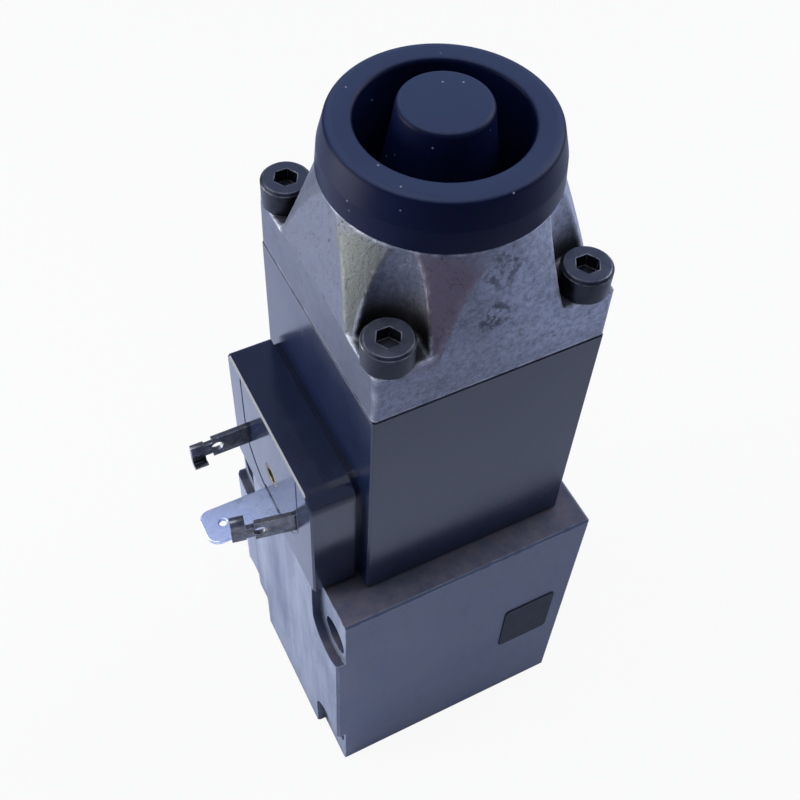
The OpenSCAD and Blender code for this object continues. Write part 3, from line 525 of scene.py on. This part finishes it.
# %% Blackened screw steel
material, tree, at = new_finish("blackened_screw_steel")
mottled = blotches(tree, at, 1.5, 0.35, 0.7, 8.0)
sheen = add(tree, "ShaderNodeMapRange", {"Value": mottled, "To Min": 0.32, "To Max": 0.48})
oxide = paint(tree, "#1b1d24", [
    (mottled, 1.0, "#2f323b"),
    # Painted light: what faces up is made lighter.
    (facing(tree, UP), 0.7, "#5c606e"),
    # Painted shade: the socket and corners are darkened.
    (corner_shade(tree, 1.6, 0.3, 0.9), 0.9, "#101014"),
    (edge_wear_and_highlight(tree, at, 0.25, 1.6, 0.93), 0.75, "#d6d9e0"),
])
coat("blackened_screw_steel", material, {
    "Base Color": oxide, "Metallic": 0.8, "Roughness": sheen,
    "Normal": relief(tree, [(mottled, 0.01, 0.3)])})

# %% [markdown]
# The cap is nitrile rubber, moulded in one piece with a matt, slightly waxy skin, so it takes a rough
# dielectric with an IOR of 1.5. Soot-filled rubber is porous and swallows most of its own gloss, so the
# mirror part is set to a sixth of the full one. What faces up is painted a lighter grey, as painted light
# from above. Rubber holds a static charge, and a few pale specks of lint sit on it. They are the hearts of
# Voronoi
# cells: the surface meets few of them, and every other one keeps its speck.

# %% Nitrile rubber
LINT_CELL_MM = 2.0
LINT_SHARE = 0.5
SPECK_RIM = 0.09
SPECK_HEART = 0.04

material, tree, at = new_finish("nitrile_rubber")
cell = add(tree, "ShaderNodeTexVoronoi", {"Vector": at, "Scale": pattern_scale(LINT_CELL_MM)})
dot = add(tree, "ShaderNodeMapRange", {
    "Value": cell.outputs["Distance"], "From Min": SPECK_RIM, "From Max": SPECK_HEART})
chance = add(tree, "ShaderNodeSeparateColor", {0: cell.outputs["Color"]})
few = add(tree, "ShaderNodeMath", {0: chance, 1: 1 - LINT_SHARE}, operation="GREATER_THAN")
lint = add(tree, "ShaderNodeMath", {0: dot, 1: few}, operation="MULTIPLY")
rubber = paint(tree, "#070e2c", [
    (blotches(tree, at, 8, 0.3, 0.7, 4.0), 0.5, "#0a1334"),
    # Painted light: what faces up is made lighter.
    (facing(tree, UP), 0.7, "#3e4a6b"),
    (lint, 0.6, "#a4acbc"),
])
coat("cap_rubber", material, {
    "Base Color": rubber, "Roughness": 0.4, "IOR": 1.5, "Specular IOR Level": 0.08,
    "Normal": relief(tree, [(blotches(tree, at, 0.3, 0.2, 0.8, 3.0), 0.008, 0.35)])})
print("a speck of lint is", 2 * SPECK_RIM * LINT_CELL_MM, "mm across at most")

# %% [markdown]
# The O-rings are a harder black rubber, and the two flat gaskets too. They show as thin lines at most, so a
# dark base and a fine grain are enough.

# %% Black seal rubber
material, tree, at = new_finish("black_seal_rubber")
coat("seal_rubber", material, {
    "Base Color": paint(tree, "#121318", [(blotches(tree, at, 2, 0.4, 0.7), 0.5, "#1d1f26")]),
    "Roughness": 0.6, "IOR": 1.5,
    "Normal": relief(tree, [(blotches(tree, at, 0.3, 0.2, 0.8, 3.0), 0.008, 0.4)])})

# %% [markdown]
# The connector base is a glass-filled thermoset, pressed against a polished steel mould, so its faces are
# glossy and black and mirror the terminals. Only very faint flow lines break the mirror.

# %% Glossy thermoset
material, tree, at = new_finish("glossy_black_thermoset")
flow = blotches(tree, at, 6, 0.3, 0.7, stretch=(1, 1, 0.15))
polish = add(tree, "ShaderNodeMapRange", {"Value": flow, "To Min": 0.1, "To Max": 0.2})
thermoset = paint(tree, "#0d1630", [(flow, 0.8, "#131d3a"), (edge_wear_and_highlight(tree, at, 0.2), 0.15, "#3e4862")])
coat("black_moulding", material, {
    "Base Color": thermoset, "Roughness": polish, "IOR": 1.55,
    "Normal": relief(tree, [(blotches(tree, at, 2.4, 0.2, 0.8, 2.0), 0.008, 0.2)])})

# %% [markdown]
# The terminals are stamped from brass strip and tinned in a hot bath. Tin starts silver and goes steel grey;
# where it is thin, the brass shows through as straw yellow. The earth blade has fresher tin and looks
# blue-white. The two share every step and differ only in numbers, so one function makes both.

# %% Tinned brass
def tinned_brass(slot, name, colour, dull, straw, roughness):
    material, tree, at = new_finish(name)
    aged = blotches(tree, at, 1.8, 0.4, 0.65, 8.0)
    sheen = add(tree, "ShaderNodeMapRange", {"Value": aged, "To Min": roughness, "To Max": roughness + 0.15})
    metal = paint(tree, colour, [
        (aged, 0.8, dull),
        (blotches(tree, at, 1.1, 0.5, 0.62, 4.0), 0.3, straw),
        # Painted shade: corners and hollows are darkened.
        (corner_shade(tree, 1.0), 0.7, "#22242a"),
        (edge_wear_and_highlight(tree, at, 0.12, 0.8), 0.8, "#e9ecf2"),
    ])
    coat(slot, material, {
        "Base Color": metal, "Metallic": 1.0, "Roughness": sheen,
        "Normal": relief(tree, [(blotches(tree, at, 0.5, 0.2, 0.8, 4.0), 0.01, 0.4)])})


tinned_brass("tinned_brass", "tinned_brass", "#6a6c70", "#46484e", "#94896e", 0.24)
tinned_brass("bright_earth_blade", "bright_tinned_brass", "#dbe5fa", "#b3c1e2", "#e6ecf8", 0.26)

# %% [markdown]
# The little plate on the front of the block is blackened sheet, duller and darker than the phosphated steel
# round it, with the same oil on it.

# %% Blackened plate
material, tree, at = new_finish("blackened_plate")
sheet_skin = paint(tree, "#0a101c", [
    (blotches(tree, at, 2.5, 0.35, 0.65), 0.8, "#172031"),
    # Painted shade: corners and hollows are darkened.
    (corner_shade(tree, 1.0), 0.7, "#0c0e13"),
])
coat("blackened_plate", material, {
    "Base Color": sheet_skin, "Roughness": 0.6, "IOR": 1.45, "Specular IOR Level": 0.3,
    "Normal": relief(tree, [(blotches(tree, at, 0.8, 0.2, 0.8, 3.0), 0.03, 0.5)])})

# %% [markdown]
# The hidden pieces need a finish too, because other views and a cut model show them. Turned parts carry fine
# rings from the lathe tool, 0.05 mm apart on the real thing; they are drawn 2.5 mm apart so that they show.
# The brass of the insert is dull and oily, the seats of the valve are ground. A wave texture repeats every
# 2 pi / 20 units at Scale 1, and the helper turns a real distance into its Scale.

# %% Turned metals
RINGS_APART_MM = 2.513


def wave_scale(apart_mm):
    return 2 * math.pi / 20 * pattern_scale(apart_mm)


def turned_metal(slot, name, colour, film, roughness):
    material, tree, at = new_finish(name)
    rings = add(tree, "ShaderNodeTexWave", {
        "Vector": at, "Scale": wave_scale(RINGS_APART_MM), "Distortion": 0.4}, bands_direction="Z")
    oil = blotches(tree, at, 3, 0.35, 0.7)
    sheen = add(tree, "ShaderNodeMapRange", {"Value": oil, "To Min": roughness, "To Max": roughness + 0.15})
    coat(slot, material, {
        # Painted shade: corners and hollows are darkened.
        "Base Color": paint(tree, colour, [(oil, 0.6, film), (corner_shade(tree, 1.0), 0.6, "#1d1d20")]),
        "Metallic": 1.0, "Roughness": sheen,
        "Normal": relief(tree, [(rings.outputs["Fac"], 0.01, 0.2)])})


turned_metal("brass_insert", "turned_brass", "#8d8262", "#5d5a48", 0.35)
turned_metal("bronze", "turned_bronze", "#b08a4a", "#8a6c3c", 0.28)
turned_metal("ground_steel", "ground_steel", "#a2a5ab", "#84878f", 0.2)
turned_metal("spring_steel", "drawn_spring_wire", "#a8aab0", "#7f8188", 0.25)

# %% [markdown]
# Inside the housing a bobbin of glass-filled polyamide carries the winding: enamelled copper wire of half a
# millimetre. The lacquer lets the copper shine through, so it is part metal. A wave across it stands for the
# turns of the wire, drawn six times as coarse as they are so that they show.

# %% Bobbin and winding
WIRES_APART_MM = 3.1416

material, tree, at = new_finish("bobbin_polyamide")
coat("bobbin_plastic", material, {
    "Base Color": paint(tree, "#2b2c30", [(blotches(tree, at, 3, 0.4, 0.7), 0.5, "#36373d")]),
    "Roughness": 0.45, "IOR": 1.53,
    "Normal": relief(tree, [(blotches(tree, at, 0.4, 0.2, 0.8, 3.0), 0.01, 0.3)])})

material, tree, at = new_finish("enamelled_copper")
wires = add(tree, "ShaderNodeTexWave", {
    "Vector": at, "Scale": wave_scale(WIRES_APART_MM)}, bands_direction="Z")
coat("enamelled_copper", material, {
    "Base Color": paint(tree, "#8a4320", [(wires.outputs["Fac"], 0.5, "#b0653a")]),
    "Metallic": 0.6, "Roughness": 0.28, "Normal": relief(tree, [(wires.outputs["Fac"], 0.15, 0.8)])})

slot_of = {row["node"]: row["material_slot"] for row in frame["record"]["subparts"]}
print("finishes made:", len(FINISHES), "and missing:", sorted(set(slot_of.values()) - set(FINISHES)))

# %% [markdown]
# Every CAD piece gets its finish, and those that show from outside get one more thing: no real edge is
# perfectly sharp. A Weld modifier joins the faces that the file stores apart, a Bevel rounds what meets at
# more than 30 degrees, and weighted normals keep the flat faces flat.

# %% Dress the CAD pieces
EDGE_MM = {
    "valve_body": 0.2, "solenoid_housing": 0.22, "cover_screws": 0.16, "connector_base": 0.12,
    "connector_insert": 0.1, "near_terminal": 0.12, "far_terminal": 0.12,
    "base_gasket": 0.05, "cover_gasket": 0.04,
}
EDGE_FROM_DEG = 30
SAME_POINT_M = 1e-6


def round_edges(piece, width_mm, segments=3):
    weld = piece.modifiers.new("weld", "WELD")
    weld.merge_threshold = SAME_POINT_M
    bevel = piece.modifiers.new("bevel", "BEVEL")
    bevel.width = mm(width_mm)
    bevel.segments = segments
    bevel.limit_method = "ANGLE"
    bevel.angle_limit = math.radians(EDGE_FROM_DEG)
    piece.modifiers.new("normals", "WEIGHTED_NORMAL")


for name, piece in nodes.items():
    piece.data.materials.clear()
    piece.data.materials.append(FINISHES[slot_of[name]])
    if name in EDGE_MM:
        round_edges(piece, EDGE_MM[name])
print("CAD pieces dressed:", len(nodes), "with rounded edges:", len(EDGE_MM))

# %% [markdown]
# Pieces made here go through one door: it makes the object, gives it its finish and smooth shading, hides
# the CAD nodes that it stands for and attaches it to the body that it moves with. Two short questions to the
# frame come with it: which body a node belongs to, and where its box begins and ends.

# %% One door for every new piece
def make_piece(name, mesh, slot, body, stands_for=(), smooth_deg=35, finish=None):
    piece = new_object(name, mesh)
    mesh.materials.clear()
    mesh.materials.append(finish or FINISHES[slot])
    mesh.shade_smooth()
    mesh.set_sharp_from_angle(angle=math.radians(smooth_deg))
    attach(piece, body)
    if stands_for:
        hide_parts(*stands_for)
    print(name, "has", len(mesh.polygons), "faces")
    return piece


def body_of(node):
    return nodes[node]["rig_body"]


def box_mm(node):
    low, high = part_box(node)
    return low * 1000, high * 1000


print("the cap moves with", body_of("rubber_cap"), "and ends at", round(box_mm("rubber_cap")[1].z, 2), "mm")

# %% [markdown]
# Most of the shapes to come are skins between rings of points: a turned piece has its rings about the axis, a
# wire has them along its path. So one function skins two rings and another closes the work. A third gives
# the mesh of a piece after its modifiers, for the shapes that Blender itself works out.

# %% Rings and skins
ON_AXIS_MM = 1e-6


def round_the_circle(count):
    return [2 * math.pi * i / count for i in range(count)]


def skin_between(shape, low, high):
    """Faces between two rings of points. A ring of one point is a tip."""
    count = max(len(low), len(high))
    for i in range(count):
        j = (i + 1) % count
        around = [low[i % len(low)], low[j % len(low)], high[j % len(high)], high[i % len(high)]]
        face = list(dict.fromkeys(around))
        if len(face) > 2:
            shape.faces.new(face)


def closed_mesh(shape, name):
    """The finished mesh of a shape, with its faces looking outwards."""
    bmesh.ops.recalc_face_normals(shape, faces=shape.faces)
    mesh = bpy.data.meshes.new(name)
    shape.to_mesh(mesh)
    shape.free()
    return mesh


def lathe(name, outline, closed=False, segments=128):
    """A mesh turned about the valve axis from an outline in millimetres."""
    shape = bmesh.new()
    rings = []
    for point in outline:
        angles = round_the_circle(segments) if point.x > ON_AXIS_MM else [0]
        rings.append([shape.verts.new((mm(point.x) * math.cos(a), mm(point.x) * math.sin(a), mm(point.y)))
                      for a in angles])
    for low, high in zip(rings, rings[1:]):
        skin_between(shape, low, high)
    if closed:
        skin_between(shape, rings[-1], rings[0])
    return closed_mesh(shape, name)


def evaluated_mesh(piece):
    """The mesh of a piece after its modifiers, as a mesh of its own."""
    graph = bpy.context.evaluated_depsgraph_get()
    return bpy.data.meshes.new_from_object(piece.evaluated_get(graph), depsgraph=graph)


print("a ring of 128 points turns by", round(math.degrees(round_the_circle(128)[1]), 2), "degrees a step")

# %% [markdown]
# A turned or stamped piece is drawn as a maker draws it: a few corners, each with its own radius. An arc
# starts and ends where a circle of that radius touches the two sides, which follows from the angle between
# them. Where the sides are too short for it, the radius shrinks.

# %% Rounded outlines
NEARLY_HALF = 0.49


def soft_corners(corners, closed=False, steps=8):
    """Points of an outline whose corners (r, z, radius), in millimetres, are rounded to arcs."""
    points = []
    count = len(corners)
    for i, (r, z, radius) in enumerate(corners):
        here = Vector((r, z))
        if radius <= 0 or (not closed and i in (0, count - 1)):
            points.append(here)
            continue
        before = Vector(corners[i - 1][:2]) - here
        after = Vector(corners[(i + 1) % count][:2]) - here
        half = before.angle(after) / 2
        reach = min(radius / math.tan(half), before.length * NEARLY_HALF, after.length * NEARLY_HALF)
        real_radius = reach * math.tan(half)
        before.normalize()
        after.normalize()
        centre = here + (before + after).normalized() * (real_radius / math.sin(half))
        start = here + before * reach - centre
        end = here + after * reach - centre
        turn = start.angle_signed(end)
        for step in range(steps + 1):
            a = -turn * step / steps
            points.append(centre + Vector((start.x * math.cos(a) - start.y * math.sin(a),
                                           start.x * math.sin(a) + start.y * math.cos(a))))
    return points


square = soft_corners([(sx * 5, sy * 5, 1) for sx, sy in CORNERS], closed=True)
print("a square with four rounded corners has", len(square), "points")

# %% [markdown]
# The cast cover is a square flange that flows into a round neck. Two cutters refine the shape that the CAD
# model gives it. The first is a mould: the photograph shows a faint crease on each side of the flat facets,
# the curve along which the cone meets a sloping plane, and a shape cut by the very cone gets just that. The
# second opens each screw pocket up to the cap's foot, by a cone that widens and leans as it rises.

# %% Cutters for the cast cover
MOULD_R_MM = 40
MOULD_SPARE_MM = 1
MOULD_SIDES = 256
SCOOP_R_MM = 5.05
SCOOP_WIDENS_MM = 0.35
SCOOP_LEANS_MM = (-0.35, -0.95)
SCOOP_STARTS_MM = 0.25
SCOOP_SIDES = 96

cover_low, cover_high = box_mm("cast_cover")
mould_foot = cover_low.z - MOULD_SPARE_MM
mould_top = cover_high.z + MOULD_SPARE_MM
mould_outline = [Vector(p) for p in (
    (0, mould_foot), (MOULD_R_MM, mould_foot), (MOULD_R_MM, FLANGE_TOP_MM), (CONE_FOOT_R_MM, FLANGE_TOP_MM),
    (CONE_TOP_R_MM, NECK_TOP_MM), (CONE_TOP_R_MM, mould_top), (0, mould_top))]
mould = new_object("mould", lathe("mould", mould_outline, segments=MOULD_SIDES))

scoop_shape = bmesh.new()
for sx, sy in CORNERS:
    rings = []
    for z, grown in ((FLANGE_TOP_MM + SCOOP_STARTS_MM, 0), (NECK_TOP_MM, 1)):
        middle_x = SCREW_MIDDLE_MM[0] + sx * (SCREW_FROM_MIDDLE_MM[0] + grown * SCOOP_LEANS_MM[0])
        middle_y = SCREW_MIDDLE_MM[1] + sy * (SCREW_FROM_MIDDLE_MM[1] + grown * SCOOP_LEANS_MM[1])
        r = SCOOP_R_MM + grown * SCOOP_WIDENS_MM
        rings.append([
            scoop_shape.verts.new((mm(middle_x + r * math.cos(a)), mm(middle_y + r * math.sin(a)), mm(z)))
            for a in round_the_circle(SCOOP_SIDES)])
    skin_between(scoop_shape, *rings)
    for ring in rings:
        scoop_shape.faces.new(ring)
scoops = new_object("scoops", closed_mesh(scoop_shape, "scoops"))
print("the mould has", len(mould.data.polygons), "faces and the scoops", len(scoops.data.polygons))

# %% [markdown]
# A casting has no sharp edge at all, because metal has to leave the mould. A bevel fails on a form like this,
# where curved faces meet at all angles. Remeshing the cut shape into small even cells and relaxing them a
# little gives every edge, inside and out, that poured softness.

# %% Cast cover
COVER_CELL_MM = 0.24
RELAX_ROUNDS = 2
RELAX_STRENGTH = 0.5

cover_shape = bmesh.new()
cover_shape.from_mesh(nodes["cast_cover"].data)
bmesh.ops.remove_doubles(cover_shape, verts=cover_shape.verts, dist=SAME_POINT_M)
rough_mesh = bpy.data.meshes.new("rough_cover")
cover_shape.to_mesh(rough_mesh)
cover_shape.free()
rough_cover = new_object("rough_cover", rough_mesh)
for operation, cutter in (("INTERSECT", mould), ("DIFFERENCE", scoops)):
    cut = rough_cover.modifiers.new(cutter.name, "BOOLEAN")
    cut.operation = operation
    cut.solver = "EXACT"
    cut.object = cutter
remesh = rough_cover.modifiers.new("cells", "REMESH")
remesh.mode = "VOXEL"
remesh.voxel_size = mm(COVER_CELL_MM)
smooth = rough_cover.modifiers.new("relax", "SMOOTH")
smooth.factor = RELAX_STRENGTH
smooth.iterations = RELAX_ROUNDS
cover_mesh = evaluated_mesh(rough_cover)
for helper in (rough_cover, mould, scoops):
    bpy.data.objects.remove(helper)
make_piece("cast_cover_skin", cover_mesh, "cast_aluminium", body_of("cast_cover"), ["cast_cover"],
           smooth_deg=180)

# %% [markdown]
# The rubber cap and its button are turned shapes, so they come off a lathe: an outline with rounded corners,
# spun about the axis. Each corner is its distance from the axis, its height and its own radius. The cap is a
# ring whose wall leans in above its middle and rolls over into a flat top. A groove in its underside grips
# the rim of the cover, between the wall outside and a thin collar inside.

# %% Rubber cap
CAP_GAP_MM = 0.05
WALL_MM = 2.0
BEND_MM = 3.4
BEND_LEANS_MM = 0.25
RING_R_MM = 14.55
RING_DROPS_MM = 0.25
RING_ROLL_MM = 1.0
OPENING_R_MM = 10.95
OPENING_DRAFT_MM = 0.05
COLLAR_R_MM = 11.9
GROOVE_MM = 4.1

cap_low, cap_high = box_mm("rubber_cap")
cap_r = cap_high.x
cap_foot = NECK_TOP_MM + CAP_GAP_MM
cap_top = cap_high.z
cap_outline = soft_corners([
    (cap_r - WALL_MM, cap_foot, 0.3), (cap_r, cap_foot, 0.35),
    (cap_r - BEND_LEANS_MM, cap_foot + BEND_MM, 1.6), (RING_R_MM, cap_top - RING_DROPS_MM, 0.9),
    (RING_R_MM - RING_ROLL_MM, cap_top, 1.4), (OPENING_R_MM, cap_top, 0.7),
    (OPENING_R_MM + OPENING_DRAFT_MM, cap_low.z, 0.2), (COLLAR_R_MM, cap_low.z, 0.2),
    (COLLAR_R_MM, cap_foot + GROOVE_MM, 0.2), (cap_r - WALL_MM, cap_foot + GROOVE_MM, 0.2),
], closed=True)
make_piece("rubber_cap_ring", lathe("rubber_cap_ring", cap_outline, closed=True), "cap_rubber",
           body_of("rubber_cap"), ["rubber_cap"])

# %% [markdown]
# The button flares like a bell towards its skirt, and has a stem inside it. It is one more outline on the
# same lathe, open this time, because it starts and ends on the axis.

# %% Manual override button
BUTTON_R_MM = 5.95
FLARE_MM = 0.55
FLARE_DROPS_MM = 4
BELL_MM = 0.8
BELL_RISES_MM = 4.4
HOLLOW_RISES_MM = 4.6
SKIRT_FOOT_MM = 1.75
SKIRT_WALL_MM = 1.7
STEM_R_MM = 4.0

button_low, button_high = box_mm("manual_button")
skirt_r = button_high.x
skirt_z = button_low.z + SKIRT_FOOT_MM
button_outline = soft_corners([
    (0, button_high.z, 0), (BUTTON_R_MM, button_high.z, 0.75),
    (BUTTON_R_MM + FLARE_MM, button_high.z - FLARE_DROPS_MM, 4.0),
    (skirt_r - BELL_MM, button_low.z + BELL_RISES_MM, 4.0),
    (skirt_r, skirt_z, 0.3), (skirt_r - SKIRT_WALL_MM, skirt_z, 0.3),
    (STEM_R_MM, button_low.z + HOLLOW_RISES_MM, 0.3), (STEM_R_MM, button_low.z, 0.3), (0, button_low.z, 0),
])
make_piece("override_button", lathe("override_button", button_outline), "cap_rubber",
           body_of("manual_button"), ["manual_button"])

# %% [markdown]
# A thin web joins cap and button far down in the groove between them. It is what stretches when the button is
# pressed. Here it moves with the web's body and gets a mesh of its own.

# %% Web between cap and button
FOOT_WIDTH_MM = 1.3
FOOT_HEIGHT_MM = 1.0
UPPER_BOW_MM = (0.5, 0.4)
LOWER_BOW_MM = (0.6, 0.3)
TOP_OVERLAPS_MM = (0.1, 0.9)

web_low, web_high = box_mm("boot_web")
halfway_r = (web_high.x + skirt_r) / 2
halfway_z = (web_low.z + web_high.z) / 2
web_outline = soft_corners([
    (web_high.x, web_low.z, 0.1), (web_high.x, web_low.z + FOOT_HEIGHT_MM, 0.3),
    (halfway_r + UPPER_BOW_MM[0], halfway_z + UPPER_BOW_MM[1], 2.0),
    (skirt_r + TOP_OVERLAPS_MM[0], web_high.z, 0.2), (skirt_r - TOP_OVERLAPS_MM[1], web_high.z, 0.2),
    (halfway_r - LOWER_BOW_MM[0], halfway_z - LOWER_BOW_MM[1], 2.0),
    (web_high.x - FOOT_WIDTH_MM, web_low.z, 0.2),
], closed=True)
web = make_piece("bellows_web", lathe("bellows_web", web_outline, closed=True), "cap_rubber",
                 body_of("boot_web"), ["boot_web"])
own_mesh(web)

# %% [markdown]
# On the front of the block there is a shallow dark plate with rounded corners. It is too thin to be worth a
# solid of its own, but its rim catches light, so it is a real mesh, sunk a hair into the face that carries it
# and rounded by the same bevel as the CAD pieces.

# %% Front plate
PLATE_MIDDLE_MM = (12.75, 28.6)
PLATE_SIZE_MM = (10.2, 13.6)
PLATE_CORNER_MM = 0.9
PLATE_T_MM = 0.22
PLATE_RIM_MM = 0.1
SUNK_MM = 0.02


def extruded(name, outline, direction, depth_mm):
    """A plate: an outline of points in millimetres, pushed out along a direction."""
    shape = bmesh.new()
    face = shape.faces.new([shape.verts.new(mm(point)) for point in outline])
    moved = bmesh.ops.extrude_face_region(shape, geom=[face])
    far_side = [v for v in moved["geom"] if isinstance(v, bmesh.types.BMVert)]
    bmesh.ops.translate(shape, vec=mm(direction * depth_mm), verts=far_side)
    return closed_mesh(shape, name)


front_y = box_mm("valve_body")[0].y
half_w, half_h = PLATE_SIZE_MM[0] / 2, PLATE_SIZE_MM[1] / 2
plate_corners = [(sx * half_w, sz * half_h, PLATE_CORNER_MM) for sx, sz in CORNERS]
rounded = soft_corners(plate_corners, closed=True, steps=5)
plate_points = [Vector((PLATE_MIDDLE_MM[0] + p.x, front_y + SUNK_MM, PLATE_MIDDLE_MM[1] + p.y))
                for p in rounded]
plate_mesh = extruded("front_plate", plate_points, Vector((0, -1, 0)), PLATE_T_MM + SUNK_MM)
plate = make_piece("front_plate", plate_mesh, "blackened_screw_steel", body_of("valve_body"),
                   finish=FINISHES["blackened_plate"])
round_edges(plate, PLATE_RIM_MM, 2)

# %% [markdown]
# On the face of the connector base a thin raised line runs round the centre screw like a horseshoe: it is
# where two halves of the mould met. It is a fine wire, swept along its path and half sunk into the face.

# %% Moulding line
LINE_R_MM = 0.09
ARM_Y_MM = 10.2
ARM_ENDS_MM = 0.6
ARM_BENDS_MM = 4
ARC_DROP_MM = 8.6
ARC_STEPS = 24


def swept(name, points, across, radius_mm, sides=8):
    """A round wire along points. The vector across stands square to the path, or nearly so, everywhere."""
    shape = bmesh.new()
    rings = []
    for i, point in enumerate(points):
        ahead = (points[min(i + 1, len(points) - 1)] - points[max(i - 1, 0)]).normalized()
        side = ahead.cross(across)
        rings.append([shape.verts.new(mm(point + radius_mm * (across * math.cos(a) + side * math.sin(a))))
                      for a in round_the_circle(sides)])
    for low, high in zip(rings, rings[1:]):
        skin_between(shape, low, high)
    shape.faces.new(rings[0])
    shape.faces.new(rings[-1])
    return closed_mesh(shape, name)


base_low, base_high = box_mm("connector_base")
insert_low, insert_high = box_mm("connector_insert")
middle = (insert_low + insert_high) / 2
arm_heights = (base_high.z - ARM_ENDS_MM, middle.z + ARM_BENDS_MM, middle.z)
line_points = [Vector((base_low.x, middle.y - ARM_Y_MM, z)) for z in arm_heights]
for step in range(1, ARC_STEPS):
    a = math.pi * step / ARC_STEPS
    line_points.append(Vector((
        base_low.x, middle.y - ARM_Y_MM * math.cos(a), middle.z - ARC_DROP_MM * math.sin(a))))
line_points += [Vector((base_low.x, middle.y + ARM_Y_MM, z)) for z in reversed(arm_heights)]
make_piece("moulding_line", swept("moulding_line", line_points, Vector((1, 0, 0)), LINE_R_MM),
           "black_moulding", body_of("connector_base"))

# %% [markdown]
# The earth blade is stamped from strip: the punch rounds its end and leaves a soft lip all the way round, the
# hole included. A flat curve with a bevel does the same. Its outline is drawn smaller by the lip, because the
# bevel swells outwards.

# %% Earth blade
LIP_MM = 0.16
TIP_CORNER_MM = 1.7
HOLE_R_MM = 0.65
HOLE_FROM_TIP_MM = 3.2
HOLE_SIDES = 32

blade_low, blade_high = box_mm("earth_terminal")
blade_middle = (blade_low + blade_high) / 2
tip_x = blade_low.x + LIP_MM
far_y, near_y = blade_high.y - LIP_MM, blade_low.y + LIP_MM
blade_outline = soft_corners([
    (blade_high.x, far_y, 0), (tip_x, far_y, TIP_CORNER_MM),
    (tip_x, near_y, TIP_CORNER_MM), (blade_high.x, near_y, 0)])
hole_x = blade_low.x + HOLE_FROM_TIP_MM
hole_r = HOLE_R_MM + LIP_MM
hole = [Vector((hole_x + hole_r * math.cos(a), blade_middle.y + hole_r * math.sin(a)))
        for a in round_the_circle(HOLE_SIDES)]
strip = bpy.data.curves.new("strip", "CURVE")
strip.dimensions = "2D"
strip.fill_mode = "BOTH"
strip.extrude = mm((blade_high.z - blade_low.z) / 2 - LIP_MM)
strip.bevel_depth = mm(LIP_MM)
strip.bevel_resolution = 3
for loop in (blade_outline, hole):
    spline = strip.splines.new("POLY")
    spline.points.add(len(loop) - 1)
    for point, place in zip(spline.points, loop):
        point.co = (mm(place.x), mm(place.y), 0, 1)
    spline.use_cyclic_u = True
drawn = new_object("strip", strip)
blade_mesh = evaluated_mesh(drawn)
bpy.data.objects.remove(drawn)
for vertex in blade_mesh.vertices:
    vertex.co.z += mm(blade_middle.z)
make_piece("earth_blade", blade_mesh, "bright_earth_blade", body_of("earth_terminal"), ["earth_terminal"],
           smooth_deg=50)

# %% [markdown]
# The return spring sits out of sight at the foot of the valve. A spring is a wire on a helix, so its points
# are worked out turn by turn, and the sweep that drew the moulding line skins the wire round them. The real
# spring shortens as the poppet comes down, to its own length less the stroke; here it gets a mesh of its own.

# %% Return spring
TURNS = 6
PER_TURN = 36
WIRE_R_MM = 0.45
WIRE_SIDES = 12

spring_low, spring_high = box_mm("poppet_spring")
coil_r = spring_high.x - WIRE_R_MM
first_z, last_z = spring_low.z + WIRE_R_MM, spring_high.z - WIRE_R_MM
helix = []
for step in range(TURNS * PER_TURN + 1):
    a = 2 * math.pi * step / PER_TURN
    rise = (last_z - first_z) * step / (TURNS * PER_TURN)
    helix.append(Vector((coil_r * math.cos(a), coil_r * math.sin(a), first_z + rise)))
spring = make_piece("return_spring", swept("return_spring", helix, Vector((0, 0, 1)), WIRE_R_MM, WIRE_SIDES),
                    "spring_steel", body_of("poppet_spring"), ["poppet_spring"])
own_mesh(spring)
